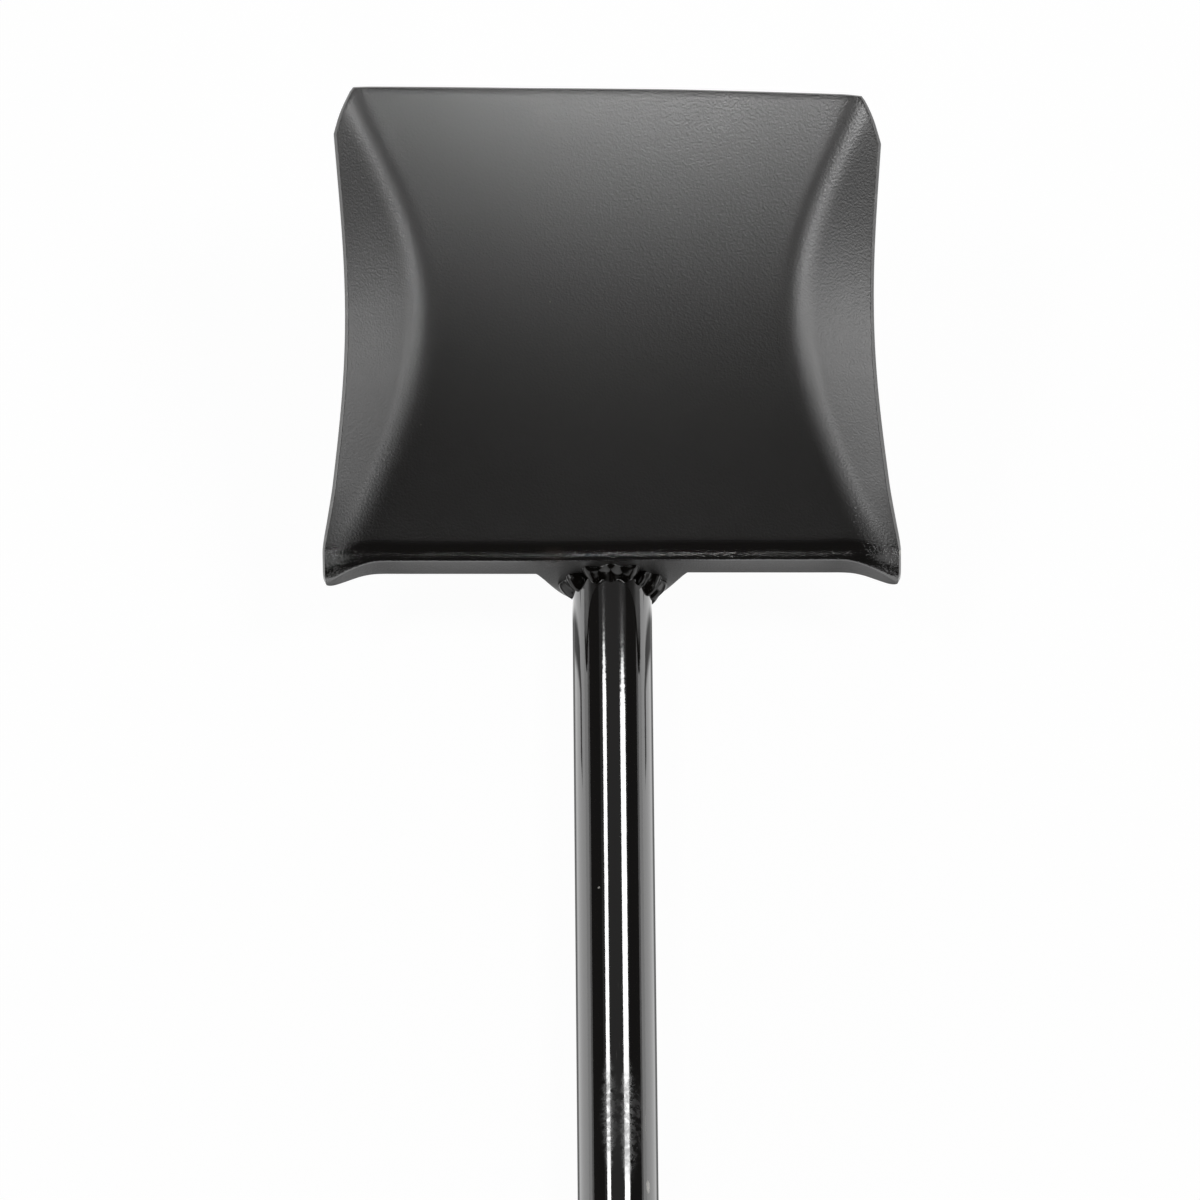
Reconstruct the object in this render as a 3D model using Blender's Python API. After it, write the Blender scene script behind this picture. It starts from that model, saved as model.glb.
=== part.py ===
"""Square point spade: a pressed steel blade butt-welded to a steel tube, with a strapped D grip.

The tool is modelled in its own frame, under the empty named tool:
the shaft's axis runs along Y, with the blade at +Y and the grip at -Y,
+Z is the front, which is the hollow side of the blade,
and the origin is on the shaft's axis, in the handle-side face of the step.
The empty then lays the tool on its back, on the step's tab and the grip sleeve.
"""

import math

import bmesh
import bpy
from mathutils import Vector

# Clearances and edges
GAP = 0.0003
EDGE_ROUND = 0.0004

# Blade sheet and its centre line, seen from the side
SHEET = 0.0022
BLADE_LENGTH = 0.1839
LIFT_AT_SHOULDER = math.radians(20)
LIFT_AT_TIP = math.radians(37)
SHOULDER_RADIUS = 0.0055

# Blade outline, measured on the flat sheet
SHOULDER_HALF_WIDTH = 0.1146
TIP_HALF_WIDTH = 0.1091
BLADE_ASKEW = math.radians(0.6)
TIP_CROWN = 0.0010
TIP_OUT_OF_SQUARE = math.radians(1.15)
TIP_CORNER_ACROSS = 0.0078
TIP_CORNER_ALONG = 0.0163
TIP_CORNER_FULLNESS = 1.08

# Side wings: how wide they are past the crease, and how steeply they rise
WING_WIDTH_SHOULDER = 0.0180
WING_WIDTH_MIDDLE = 0.0370
WING_WIDTH_TIP = 0.0075
WING_BOW_FULLNESS = 1.2
WING_ANGLE_SHOULDER = math.radians(26)
WING_ANGLE_MIDDLE = math.radians(42.3)
WING_ANGLE_TIP = math.radians(44)
WING_MIDDLE_FROM = 0.15
CREASE_WIDTH = 0.0220

# Foot step, turned back square to the shaft, and the tab that carries the tube
STEP_DEPTH = 0.0138
STEP_CORNER_ACROSS = 0.0120
STEP_CORNER_DEEP = 0.0155
BEND_SHARE_AT_CORNER = 0.6
TAB_ROOT_HALF_WIDTH = 0.0302
TAB_END_HALF_WIDTH = 0.0140
TAB_FLANK_FULLNESS = 1.2
TAB_PAST_TUBE = 0.0036
TUBE_BEHIND_BEND = 0.0265

# Shaft tube
TUBE_RADIUS = 0.015875
TUBE_WALL = 0.0016
TUBE_LENGTH = 0.7200
PLUG_SPIGOT = 0.0140
PLUG_FLANGE = 0.0022
PLUG_DOME = 0.0020

# Weld beads at the step: start and end angle from the front, face leg, tube leg, lobes
STEP_WELDS = {
    "weld_front": (-38, 36, 0.0092, 0.0046, 3),
    "weld_right": (38, 140, 0.0062, 0.0074, 4),
    "weld_back": (142, 218, 0.0030, 0.0056, 5),
    "weld_left": (220, 320, 0.0056, 0.0062, 3),
}
WELD_LUMPS = 0.16
WELD_BULGE = 1.45
WELD_START_SIZE = 0.35
WELD_START_SHARPNESS = 6

# D grip: two straps formed round the tube, then spread to the width of a hand
STRAP_THICKNESS = 0.0030
STRAP_WIDTH = 0.0280
STRAP_ON_TUBE = 0.0550
STRAP_PAST_TUBE = 0.0050
STRAP_BEND_RADIUS = 0.0300
STRAP_SPREAD = math.radians(42)
STRAP_CORNER = 0.0080
STRAP_CUP_AFTER_BEND = 0.25
STRAP_END_TURN = math.radians(78)
HAND_WIDTH = 0.1120
GRIP_STRAIGHT = 0.0200
STRAP_WELD_LENGTH = 0.0440
STRAP_WELD_FOOT = 0.0034
STRAP_WELD_RISE = 0.0027
STRAP_WELD_LOBES = 5

# Grip parts, all on the bolt's axis
BOLT_RADIUS = 0.0040
BOLT_CLEARANCE = 0.0004
BOLT_HEAD_RADIUS = 0.0078
BOLT_HEAD_HEIGHT = 0.0042
NUT_ACROSS_CORNERS = 0.0150
NUT_HEIGHT = 0.0080
NUT_CHAMFER = 0.0009
BOLT_PAST_NUT = 0.0020
WASHER_RADIUS = 0.0095
WASHER_THICKNESS = 0.0016
SPACER_RADIUS = 0.0064
SLEEVE_RADIUS = 0.0150
SLEEVE_SWELL = 0.0010
SLEEVE_COLLAR_RADIUS = 0.0172
SLEEVE_COLLAR_WIDTH = 0.0050
SLEEVE_GROOVES = 6
SLEEVE_GROOVE_WIDTH = 0.0058
SLEEVE_GROOVE_DEPTH = 0.0008

# Facets round a full turn
ROUND_STEPS = 48
SLEEVE_STEPS = 28
SMALL_ROUND_STEPS = 24

# Facets along and across the formed parts
STEP_ROWS = 4
BEND_ROWS = 6
PAN_ROWS = 17
STRAP_COLUMNS = 6
STRAP_WELD_STATIONS = 12
STATIONS_PER_LOBE = 5

# Sizes that follow from the ones above
SHOULDER_TURN = math.pi / 2 - LIFT_AT_SHOULDER
BEND_RUN = SHOULDER_RADIUS * SHOULDER_TURN
TAB_DEPTH = TUBE_BEHIND_BEND + TUBE_RADIUS + TAB_PAST_TUBE
TUBE_BORE = TUBE_RADIUS - TUBE_WALL
TUBE_END_Y = -GAP - TUBE_LENGTH
STRAP_INNER = TUBE_RADIUS + GAP
STRAP_MIDDLE = STRAP_INNER + STRAP_THICKNESS / 2
GRIP_STRAP_X = HAND_WIDTH / 2 + STRAP_THICKNESS / 2
BORE_RADIUS = BOLT_RADIUS + BOLT_CLEARANCE


def clear_scene():
    """Remove whatever objects the file opened with."""
    for obj in list(bpy.data.objects):
        bpy.data.objects.remove(obj, do_unlink=True)


def make_material(name, colour, roughness, metallic):
    """A material of its own for one piece."""
    material = bpy.data.materials.new(name)
    material.use_nodes = True
    shader = material.node_tree.nodes["Principled BSDF"]
    shader.inputs["Base Color"].default_value = (*colour, 1.0)
    shader.inputs["Roughness"].default_value = roughness
    shader.inputs["Metallic"].default_value = metallic
    material.diffuse_color = (*colour, 1.0)
    return material


def black_paint(name):
    """Baked black paint, as it lies on the blade, the shaft and the straps."""
    return make_material(name, (0.012, 0.012, 0.013), 0.35, 0.0)


def zinc(name):
    """Zinc-plated steel, as on bolts and washers."""
    return make_material(name, (0.55, 0.56, 0.58), 0.35, 1.0)


def black_rubber(name):
    """Moulded black rubber."""
    return make_material(name, (0.02, 0.02, 0.021), 0.7, 0.0)


def finish_object(name, bm, material, parent, smooth_angle=math.radians(35)):
    """Turn a mesh in the making into a named piece under the parent."""
    mesh = bpy.data.meshes.new(name)
    bm.to_mesh(mesh)
    bm.free()
    mesh.shade_smooth()
    mesh.set_sharp_from_angle(angle=smooth_angle)
    mesh.materials.append(material)
    obj = bpy.data.objects.new(name, mesh)
    bpy.context.scene.collection.objects.link(obj)
    obj.parent = parent
    return obj


def add_solidify(obj, thickness, offset):
    """Give a sheet its thickness."""
    modifier = obj.modifiers.new("sheet", "SOLIDIFY")
    modifier.thickness = thickness
    modifier.offset = offset
    modifier.use_even_offset = True


def add_edge_round(obj, width, segments):
    """Round the cut edges of a sheet."""
    modifier = obj.modifiers.new("edge_round", "BEVEL")
    modifier.width = width
    modifier.segments = segments
    modifier.limit_method = "ANGLE"
    modifier.angle_limit = math.radians(45)


def sheet_from_rows(rows):
    """A sheet of quads through rows of points. Its front faces the reader of the rows."""
    bm = bmesh.new()
    verts = [[bm.verts.new(point) for point in row] for row in rows]
    for lower, upper in zip(verts, verts[1:]):
        for i in range(len(lower) - 1):
            bm.faces.new((lower[i], lower[i + 1], upper[i + 1], upper[i]))
    return bm


def loft_from_rings(rings):
    """A closed solid through rings of points, with flat ends."""
    bm = bmesh.new()
    verts = [[bm.verts.new(point) for point in ring] for ring in rings]
    for near, far in zip(verts, verts[1:]):
        for i in range(len(near)):
            j = (i + 1) % len(near)
            bm.faces.new((near[i], near[j], far[j], far[i]))
    bm.faces.new(verts[0])
    bm.faces.new(verts[-1])
    bmesh.ops.recalc_face_normals(bm, faces=bm.faces)
    return bm


def turned(profile, axis, steps, closed):
    """A turned solid from (radius, along) points. A closed profile makes a tube or a ring."""
    bm = bmesh.new()
    side = Vector((0, 0, -1))
    verts = [bm.verts.new(axis * along + side * radius) for radius, along in profile]
    pairs = list(zip(verts, verts[1:]))
    if closed:
        pairs.append((verts[-1], verts[0]))
    edges = [bm.edges.new(pair) for pair in pairs]
    bmesh.ops.spin(
        bm,
        geom=verts + edges,
        cent=(0, 0, 0),
        axis=axis,
        angle=2 * math.pi,
        steps=steps,
        use_merge=True,
    )
    bmesh.ops.remove_doubles(bm, verts=bm.verts, dist=1e-7)
    bmesh.ops.recalc_face_normals(bm, faces=bm.faces)
    return bm


def spaced(start, end, count):
    """Evenly spaced values after the start, up to and with the end."""
    return [start + (end - start) * (i + 1) / count for i in range(count)]


# Blade


def centre_line(run):
    """The blade's centre line as (y, z, slope), where run is measured from the shoulder bend.

    A positive run goes to the tip along the dished pan, and a negative run goes round
    the shoulder bend and then straight back down the step.
    """
    if run <= -BEND_RUN:
        return 0.0, TUBE_BEHIND_BEND + run + BEND_RUN, math.pi / 2
    bend_slope = LIFT_AT_SHOULDER - min(run, 0.0) / SHOULDER_RADIUS
    y = SHOULDER_RADIUS * (1 - math.sin(bend_slope))
    z = TUBE_BEHIND_BEND + SHOULDER_RADIUS * math.cos(bend_slope)
    if run <= 0:
        return y, z, bend_slope
    dish_radius = BLADE_LENGTH / (LIFT_AT_TIP - LIFT_AT_SHOULDER)
    slope = LIFT_AT_SHOULDER + run / dish_radius
    y += dish_radius * (math.sin(slope) - math.sin(LIFT_AT_SHOULDER))
    z += dish_radius * (math.cos(LIFT_AT_SHOULDER) - math.cos(slope))
    return y, z, slope


def wing_width(share):
    """Width of a wing past its crease, at a share of the blade's length."""
    share = min(max(share, 0.0), 1.0)
    ends = WING_WIDTH_SHOULDER + (WING_WIDTH_TIP - WING_WIDTH_SHOULDER) * share
    bow = math.sin(math.pi * share) ** WING_BOW_FULLNESS
    return ends + (WING_WIDTH_MIDDLE - ends) * bow


def wing_angle(share):
    """How steeply a wing rises from the pan, at a share of the blade's length."""
    share = min(max(share, 0.0), 1.0)
    if share < WING_MIDDLE_FROM:
        away = (WING_MIDDLE_FROM - share) / WING_MIDDLE_FROM
        return WING_ANGLE_MIDDLE + (WING_ANGLE_SHOULDER - WING_ANGLE_MIDDLE) * away**2
    away = (share - WING_MIDDLE_FROM) / (1 - WING_MIDDLE_FROM)
    return WING_ANGLE_MIDDLE + (WING_ANGLE_TIP - WING_ANGLE_MIDDLE) * away**2


def half_width(run):
    """Half the flat sheet's width."""
    share = min(max(run / BLADE_LENGTH, 0.0), 1.0)
    return SHOULDER_HALF_WIDTH + (TIP_HALF_WIDTH - SHOULDER_HALF_WIDTH) * share


def across(flat, run):
    """Where a point of the flat sheet goes once the wing is folded, as (sideways, forward)."""
    share = run / BLADE_LENGTH
    angle = wing_angle(share)
    crease_start = half_width(run) - wing_width(share) - CREASE_WIDTH / 2
    past = abs(flat) - crease_start
    if past <= 0:
        return flat, 0.0
    radius = CREASE_WIDTH / angle
    turn = min(past, CREASE_WIDTH) / radius
    straight = max(past - CREASE_WIDTH, 0.0)
    sideways = crease_start + radius * math.sin(turn) + straight * math.cos(angle)
    forward = radius * (1 - math.cos(turn)) + straight * math.sin(angle)
    return math.copysign(sideways, flat), forward


def askew(sideways):
    """How far a point lies toward the handle, as the blade sits a little askew on the shaft.

    The seat of the tube stays square, so only what is beside the tab is moved.
    """
    beside = max(abs(sideways) - TAB_ROOT_HALF_WIDTH, 0.0)
    return math.copysign(beside, sideways) * math.tan(BLADE_ASKEW)


def blade_point(flat, run):
    """A point on the front of the finished blade, from a point of the flat sheet."""
    sideways, forward = across(flat, run)
    y, z, slope = centre_line(run)
    y -= forward * math.sin(slope) + askew(sideways)
    return Vector((sideways, y, z + forward * math.cos(slope)))


def tip_run(share):
    """Where the cutting edge lies along the blade, at a signed share of the half width.

    The edge is cut a little out of square, so it is shorter on the right.
    """
    corner = TIP_CORNER_ACROSS / TIP_HALF_WIDTH
    run = BLADE_LENGTH + TIP_CROWN * (1 - share**2)
    run -= share * TIP_HALF_WIDTH * math.tan(TIP_OUT_OF_SQUARE)
    past = min((abs(share) - (1 - corner)) / corner, 1.0)
    if past > 0:
        clipped = 1 - (1 - past**TIP_CORNER_FULLNESS) ** (1 / TIP_CORNER_FULLNESS)
        run -= TIP_CORNER_ALONG * clipped
    return run


def step_depth(flat):
    """Depth of the step behind the shoulder bend, at a distance from the centre."""
    flat = abs(flat)
    slope_width = TAB_ROOT_HALF_WIDTH - TAB_END_HALF_WIDTH
    rise = min(max((TAB_ROOT_HALF_WIDTH - flat) / slope_width, 0.0), 1.0)
    flank = math.sin(rise * math.pi / 2) ** TAB_FLANK_FULLNESS
    return STEP_DEPTH + (TAB_DEPTH - STEP_DEPTH) * flank


def back_run(flat):
    """How far the sheet reaches back from the start of the shoulder bend."""
    run = BEND_RUN + step_depth(flat)
    past = (abs(flat) - (SHOULDER_HALF_WIDTH - STEP_CORNER_ACROSS)) / STEP_CORNER_ACROSS
    if past > 0:
        run -= STEP_CORNER_DEEP * (1 - math.sqrt(max(1 - past**2, 0.0)))
    return run


def column_shares():
    """Places of the sheet's columns, as shares of the half width, close where it bends."""
    corner_start = SHOULDER_HALF_WIDTH - STEP_CORNER_ACROSS
    crease_start = TIP_HALF_WIDTH - WING_WIDTH_MIDDLE - CREASE_WIDTH / 2
    places = [0.0]
    places += spaced(0.0, TAB_END_HALF_WIDTH, 2)
    places += spaced(TAB_END_HALF_WIDTH, TAB_ROOT_HALF_WIDTH, 6)
    places += spaced(TAB_ROOT_HALF_WIDTH, crease_start, 2)
    places += spaced(crease_start, corner_start, 8)
    places += [
        corner_start + STEP_CORNER_ACROSS * math.sin(turn)
        for turn in spaced(0.0, math.pi / 2, 4)
    ]
    right = [place / SHOULDER_HALF_WIDTH for place in places]
    return [-share for share in reversed(right[1:])] + right


def blade_rows():
    """Rows of points from the free edge of the step, round the bend, to the cutting edge."""
    columns = []
    for share in column_shares():
        back = back_run(share * SHOULDER_HALF_WIDTH)
        bend = min(BEND_RUN, BEND_SHARE_AT_CORNER * back)
        runs = [-back]
        runs += spaced(-back, -bend, STEP_ROWS)
        runs += spaced(-bend, 0.0, BEND_ROWS)
        runs += spaced(0.0, tip_run(share), PAN_ROWS)
        columns.append([blade_point(share * half_width(run), run) for run in runs])
    return [list(row) for row in zip(*columns)]


def build_blade(parent):
    """The pressed blade: pan, wings, rolled shoulder, foot step and tab in one sheet."""
    bm = sheet_from_rows(blade_rows())
    blade = finish_object("blade", bm, black_paint("blade_paint"), parent)
    add_solidify(blade, SHEET, -1)
    add_edge_round(blade, EDGE_ROUND, 2)


# Shaft and the welds at the step


def build_shaft(parent):
    """The tube, open at both ends, and the plug in its upper end."""
    axis = Vector((0, 1, 0))
    walls = [
        (TUBE_RADIUS, -GAP),
        (TUBE_RADIUS, TUBE_END_Y),
        (TUBE_BORE, TUBE_END_Y),
        (TUBE_BORE, -GAP),
    ]
    bm = turned(walls, axis, ROUND_STEPS, closed=True)
    finish_object("shaft_tube", bm, black_paint("shaft_paint"), parent)
    seat = TUBE_END_Y - GAP
    spigot = TUBE_BORE - GAP
    plug = [
        (0.0, TUBE_END_Y + PLUG_SPIGOT),
        (spigot - EDGE_ROUND, TUBE_END_Y + PLUG_SPIGOT),
        (spigot, TUBE_END_Y + PLUG_SPIGOT - EDGE_ROUND),
        (spigot, seat),
        (TUBE_RADIUS, seat),
        (TUBE_RADIUS, seat - PLUG_FLANGE),
    ]
    for turn in spaced(0.0, math.pi / 2, 4):
        radius = TUBE_RADIUS * math.cos(turn)
        plug.append((radius, seat - PLUG_FLANGE - PLUG_DOME * math.sin(turn)))
    bm = turned(plug, axis, SMALL_ROUND_STEPS, closed=False)
    finish_object("shaft_end_plug", bm, black_rubber("plug_plastic"), parent)


def bead_outline(foot, rise, points):
    """A fillet weld's section as (along the face, up the wall), a gap clear of both."""
    outline = [(GAP, GAP)]
    for turn in (0.0, *spaced(0.0, math.pi / 2, points)):
        along = max(math.cos(turn), 0.0) ** (2 / WELD_BULGE)
        up = math.sin(turn) ** (2 / WELD_BULGE)
        outline.append((GAP + (foot - GAP) * along, GAP + (rise - GAP) * up))
    return outline


def lump(share, lobes):
    """Size of a hand-laid bead along its run: swelling lobes, and a rounded start and end."""
    swell = 1 - WELD_LUMPS + WELD_LUMPS * math.cos(2 * math.pi * lobes * (share - 0.5))
    from_middle = abs(2 * share - 1)
    full = math.sqrt(max(1 - from_middle**WELD_START_SHARPNESS, 0.0))
    return swell * (WELD_START_SIZE + (1 - WELD_START_SIZE) * full)


def build_step_welds(parent):
    """The ring of lumpy beads round the tube, where it stands on the step's tab."""
    for name, (start, end, face_leg, tube_leg, lobes) in STEP_WELDS.items():
        rings = []
        for share in (0.0, *spaced(0.0, 1.0, STATIONS_PER_LOBE * lobes)):
            angle = math.radians(start + (end - start) * share)
            outward = Vector((math.sin(angle), 0, math.cos(angle)))
            size = lump(share, lobes)
            outline = bead_outline(face_leg * size, tube_leg * size, 6)
            ring = [outward * (TUBE_RADIUS + foot) + Vector((0, -rise, 0)) for foot, rise in outline]
            rings.append(ring)
        bm = loft_from_rings(rings)
        finish_object(name, bm, black_paint(f"{name}_paint"), parent)


# D grip


def strap_path():
    """The right strap's middle line as (x, y, heading, cup), where a cup of 1 fits the tube.

    It starts above the strap's rounded lower corners and ends at the bolt.
    """
    spread_x = GRIP_STRAP_X - STRAP_MIDDLE
    bend_x = STRAP_BEND_RADIUS * (1 - math.cos(STRAP_SPREAD))
    slant = (spread_x - 2 * bend_x) / math.sin(STRAP_SPREAD)
    bend_run = STRAP_BEND_RADIUS * STRAP_SPREAD
    moves = [
        (STRAP_ON_TUBE + STRAP_PAST_TUBE - STRAP_CORNER, 0.0, 3, 1.0, 1.0),
        (bend_run, STRAP_SPREAD, 6, 1.0, STRAP_CUP_AFTER_BEND),
        (slant, 0.0, 3, STRAP_CUP_AFTER_BEND, 0.0),
        (bend_run, -STRAP_SPREAD, 6, 0.0, 0.0),
        (GRIP_STRAIGHT, 0.0, 1, 0.0, 0.0),
    ]
    x, y, heading = STRAP_MIDDLE, TUBE_END_Y + STRAP_ON_TUBE - STRAP_CORNER, 0.0
    path = [(x, y, heading, 1.0)]
    for length, turn, steps, cup_from, cup_to in moves:
        for i in range(steps):
            middle = heading + turn * (i + 0.5) / steps
            x += length / steps * math.sin(middle)
            y -= length / steps * math.cos(middle)
            cup = cup_from + (cup_to - cup_from) * (i + 1) / steps
            path.append((x, y, heading + turn * (i + 1) / steps, cup))
        heading += turn
    return path


def strap_section(x, y, heading, cup, half):
    """One row of points across the strap, cupped round the tube or flat."""
    inward = Vector((-math.cos(heading), -math.sin(heading), 0))
    bend = cup / STRAP_MIDDLE
    row = []
    for flat in (-half, *spaced(-half, half, STRAP_COLUMNS)):
        sideways = math.sin(flat * bend) / bend if bend else flat
        inwards = (1 - math.cos(flat * bend)) / bend if bend else 0.0
        row.append(Vector((x, y, sideways)) + inward * inwards)
    return row


def bolt_y():
    """Where the grip's bolt crosses the straps."""
    return strap_path()[-1][1]


def strap_rows():
    """Rows of points along the right strap, with round corners below and a round end above."""
    half = STRAP_WIDTH / 2
    path = strap_path()
    rows = []
    x, y, heading, cup = path[0]
    for turn in (0.0, *spaced(0.0, math.pi / 2, 4)[:-1]):
        start_y = y + STRAP_CORNER * math.cos(turn)
        rounded = half - STRAP_CORNER * (1 - math.sin(turn))
        rows.append(strap_section(x, start_y, heading, cup, rounded))
    for x, y, heading, cup in path:
        rows.append(strap_section(x, y, heading, cup, half))
    for turn in spaced(0.0, STRAP_END_TURN, 5):
        end_y = y - half * math.sin(turn)
        rows.append(strap_section(x, end_y, heading, cup, half * math.cos(turn)))
    return rows


def bolt_hole_cutter(parent):
    """A hidden rod on the bolt's axis that drills both straps."""
    reach = HAND_WIDTH / 2 + 2 * STRAP_THICKNESS
    rod = [(0.0, -reach), (BORE_RADIUS, -reach), (BORE_RADIUS, reach), (0.0, reach)]
    bm = turned(rod, Vector((1, 0, 0)), SMALL_ROUND_STEPS, closed=False)
    cutter = finish_object("bolt_hole_cutter", bm, zinc("cutter"), parent)
    cutter.location.y = bolt_y()
    cutter.hide_render = True
    cutter.display_type = "WIRE"
    return cutter


def build_straps(parent):
    """The two straps, mirrored about the shaft, each drilled for the bolt."""
    cutter = bolt_hole_cutter(parent)
    for name, side in (("strap_right", 1), ("strap_left", -1)):
        rows = strap_rows()
        if side < 0:
            rows = [[Vector((-p.x, p.y, p.z)) for p in reversed(row)] for row in rows]
        bm = sheet_from_rows(rows)
        strap = finish_object(name, bm, black_paint(f"{name}_paint"), parent)
        add_solidify(strap, STRAP_THICKNESS, 0)
        add_edge_round(strap, EDGE_ROUND, 1)
        drill = strap.modifiers.new("bolt_hole", "BOOLEAN")
        drill.operation = "DIFFERENCE"
        drill.solver = "EXACT"
        drill.object = cutter


def build_strap_welds(parent):
    """Four beads that join the straps' long edges to the tube."""
    edge_angle = STRAP_WIDTH / 2 / STRAP_MIDDLE
    start_y = TUBE_END_Y + STRAP_ON_TUBE - STRAP_CORNER
    for side_name, side in (("left", -1), ("right", 1)):
        for face_name, face in (("front", 1), ("back", -1)):
            name = f"strap_weld_{side_name}_{face_name}"
            rings = []
            for share in (0.0, *spaced(0.0, 1.0, STRAP_WELD_STATIONS)):
                y = start_y - STRAP_WELD_LENGTH * share
                size = lump(share, STRAP_WELD_LOBES)
                ring = []
                for rise, foot in bead_outline(STRAP_WELD_RISE * size, STRAP_WELD_FOOT * size, 4):
                    angle = edge_angle + (foot + GAP) / TUBE_RADIUS
                    radius = TUBE_RADIUS + rise
                    x = side * radius * math.cos(angle)
                    z = face * radius * math.sin(angle)
                    ring.append(Vector((x, y, z)))
                rings.append(ring)
            bm = loft_from_rings(rings)
            finish_object(name, bm, black_paint(f"{name}_paint"), parent)


def hexagon(radius, x):
    """The corners of a hexagon across the bolt's axis."""
    angles = [math.pi / 3 * i for i in range(6)]
    return [Vector((x, radius * math.cos(angle), radius * math.sin(angle))) for angle in angles]


def build_grip(parent):
    """The sleeve on its spacer tube, and the bolt, nut and washers that hold them."""
    axis = Vector((1, 0, 0))
    y = bolt_y()
    reach = HAND_WIDTH / 2 - GAP
    spacer = [
        (SPACER_RADIUS, -reach),
        (SPACER_RADIUS, reach),
        (BORE_RADIUS, reach),
        (BORE_RADIUS, -reach),
    ]
    bm = turned(spacer, axis, SMALL_ROUND_STEPS, closed=True)
    spacer_tube = finish_object("grip_spacer_tube", bm, zinc("spacer_zinc"), parent)
    spacer_tube.location.y = y

    sleeve = finish_object(
        "grip_sleeve",
        turned(sleeve_profile(reach), axis, SLEEVE_STEPS, closed=True),
        black_rubber("sleeve_rubber"),
        parent,
    )
    sleeve.location.y = y

    outer = HAND_WIDTH / 2 + STRAP_THICKNESS + GAP
    for name, side in (("grip_washer_left", -1), ("grip_washer_right", 1)):
        ring = [
            (WASHER_RADIUS, side * outer),
            (WASHER_RADIUS, side * (outer + WASHER_THICKNESS)),
            (BORE_RADIUS, side * (outer + WASHER_THICKNESS)),
            (BORE_RADIUS, side * outer),
        ]
        bm = turned(ring, axis, SMALL_ROUND_STEPS, closed=True)
        washer = finish_object(name, bm, zinc(f"{name}_zinc"), parent)
        washer.location.y = y

    seat = outer + WASHER_THICKNESS + GAP
    bolt = finish_object(
        "grip_bolt",
        turned(bolt_profile(seat), axis, SMALL_ROUND_STEPS, closed=False),
        zinc("bolt_zinc"),
        parent,
    )
    bolt.location.y = y

    bore = BOLT_RADIUS + GAP
    nut = finish_object("grip_nut", nut_mesh(seat, bore), zinc("nut_zinc"), parent)
    nut.location.y = y


def sleeve_profile(reach):
    """The hand grip's section: a collar at each end, a slight swell and ring grooves."""
    half = reach - GAP
    bore = SPACER_RADIUS + GAP
    body = half - SLEEVE_COLLAR_WIDTH
    pitch = 2 * body / (SLEEVE_GROOVES + 1)
    half_groove = SLEEVE_GROOVE_WIDTH / 2
    profile = [
        (bore, -half),
        (SLEEVE_COLLAR_RADIUS - EDGE_ROUND, -half),
        (SLEEVE_COLLAR_RADIUS, -half + EDGE_ROUND),
        (SLEEVE_COLLAR_RADIUS, -body - EDGE_ROUND),
        (SLEEVE_RADIUS, -body + EDGE_ROUND),
    ]
    for i in range(SLEEVE_GROOVES):
        x = -body + pitch * (i + 1)
        radius = SLEEVE_RADIUS + SLEEVE_SWELL * math.cos(math.pi / 2 * x / body)
        profile.append((radius, x - half_groove))
        profile.append((radius - SLEEVE_GROOVE_DEPTH, x))
        profile.append((radius, x + half_groove))
    profile += [(radius, -along) for radius, along in reversed(profile[:5])]
    return profile


def bolt_profile(seat):
    """A dome-headed bolt: the head at -X, the shank through the grip to the nut."""
    end = seat + NUT_HEIGHT + BOLT_PAST_NUT
    profile = []
    for turn in reversed(spaced(0.0, math.pi / 2, 4)):
        radius = BOLT_HEAD_RADIUS * math.cos(turn)
        profile.append((radius, -seat - BOLT_HEAD_HEIGHT * math.sin(turn)))
    profile.append((BOLT_HEAD_RADIUS, -seat))
    profile.append((BOLT_RADIUS, -seat))
    profile.append((BOLT_RADIUS, end - EDGE_ROUND))
    profile.append((BOLT_RADIUS - EDGE_ROUND, end))
    profile.append((0.0, end))
    return profile


def nut_mesh(seat, bore):
    """A lock nut: a hexagon with both ends chamfered. The bore is a hexagon clear of the thread."""
    radius = NUT_ACROSS_CORNERS / 2
    bore_corner = bore / math.cos(math.pi / 6)
    end = seat + NUT_HEIGHT
    points = [
        hexagon(radius - NUT_CHAMFER, seat),
        hexagon(radius, seat + NUT_CHAMFER),
        hexagon(radius, end - NUT_CHAMFER),
        hexagon(radius - NUT_CHAMFER, end),
        hexagon(bore_corner, end),
        hexagon(bore_corner, seat),
    ]
    bm = bmesh.new()
    rings = [[bm.verts.new(point) for point in ring] for ring in points]
    for near, far in zip(rings, rings[1:] + rings[:1]):
        for i in range(6):
            j = (i + 1) % 6
            bm.faces.new((near[i], near[j], far[j], far[i]))
    bmesh.ops.recalc_face_normals(bm, faces=bm.faces)
    return bm


# Pose


def lying_tilt():
    """The shaft's tilt when the tool lies on the tab's edge and the sleeve's collars."""
    heel_z = TUBE_BEHIND_BEND - TAB_DEPTH
    grip_y = bolt_y()
    distance = math.hypot(heel_z, grip_y)
    direction = math.atan2(grip_y, heel_z)
    return -math.acos(-SLEEVE_COLLAR_RADIUS / distance) - direction


def world_corners():
    """Lowest and highest corner of all the finished solids."""
    graph = bpy.context.evaluated_depsgraph_get()
    points = []
    for obj in bpy.context.scene.objects:
        if obj.type != "MESH" or obj.hide_render:
            continue
        finished = obj.evaluated_get(graph)
        points += [finished.matrix_world @ v.co for v in finished.data.vertices]
    low = Vector([min(p[i] for p in points) for i in range(3)])
    high = Vector([max(p[i] for p in points) for i in range(3)])
    return low, high


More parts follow.
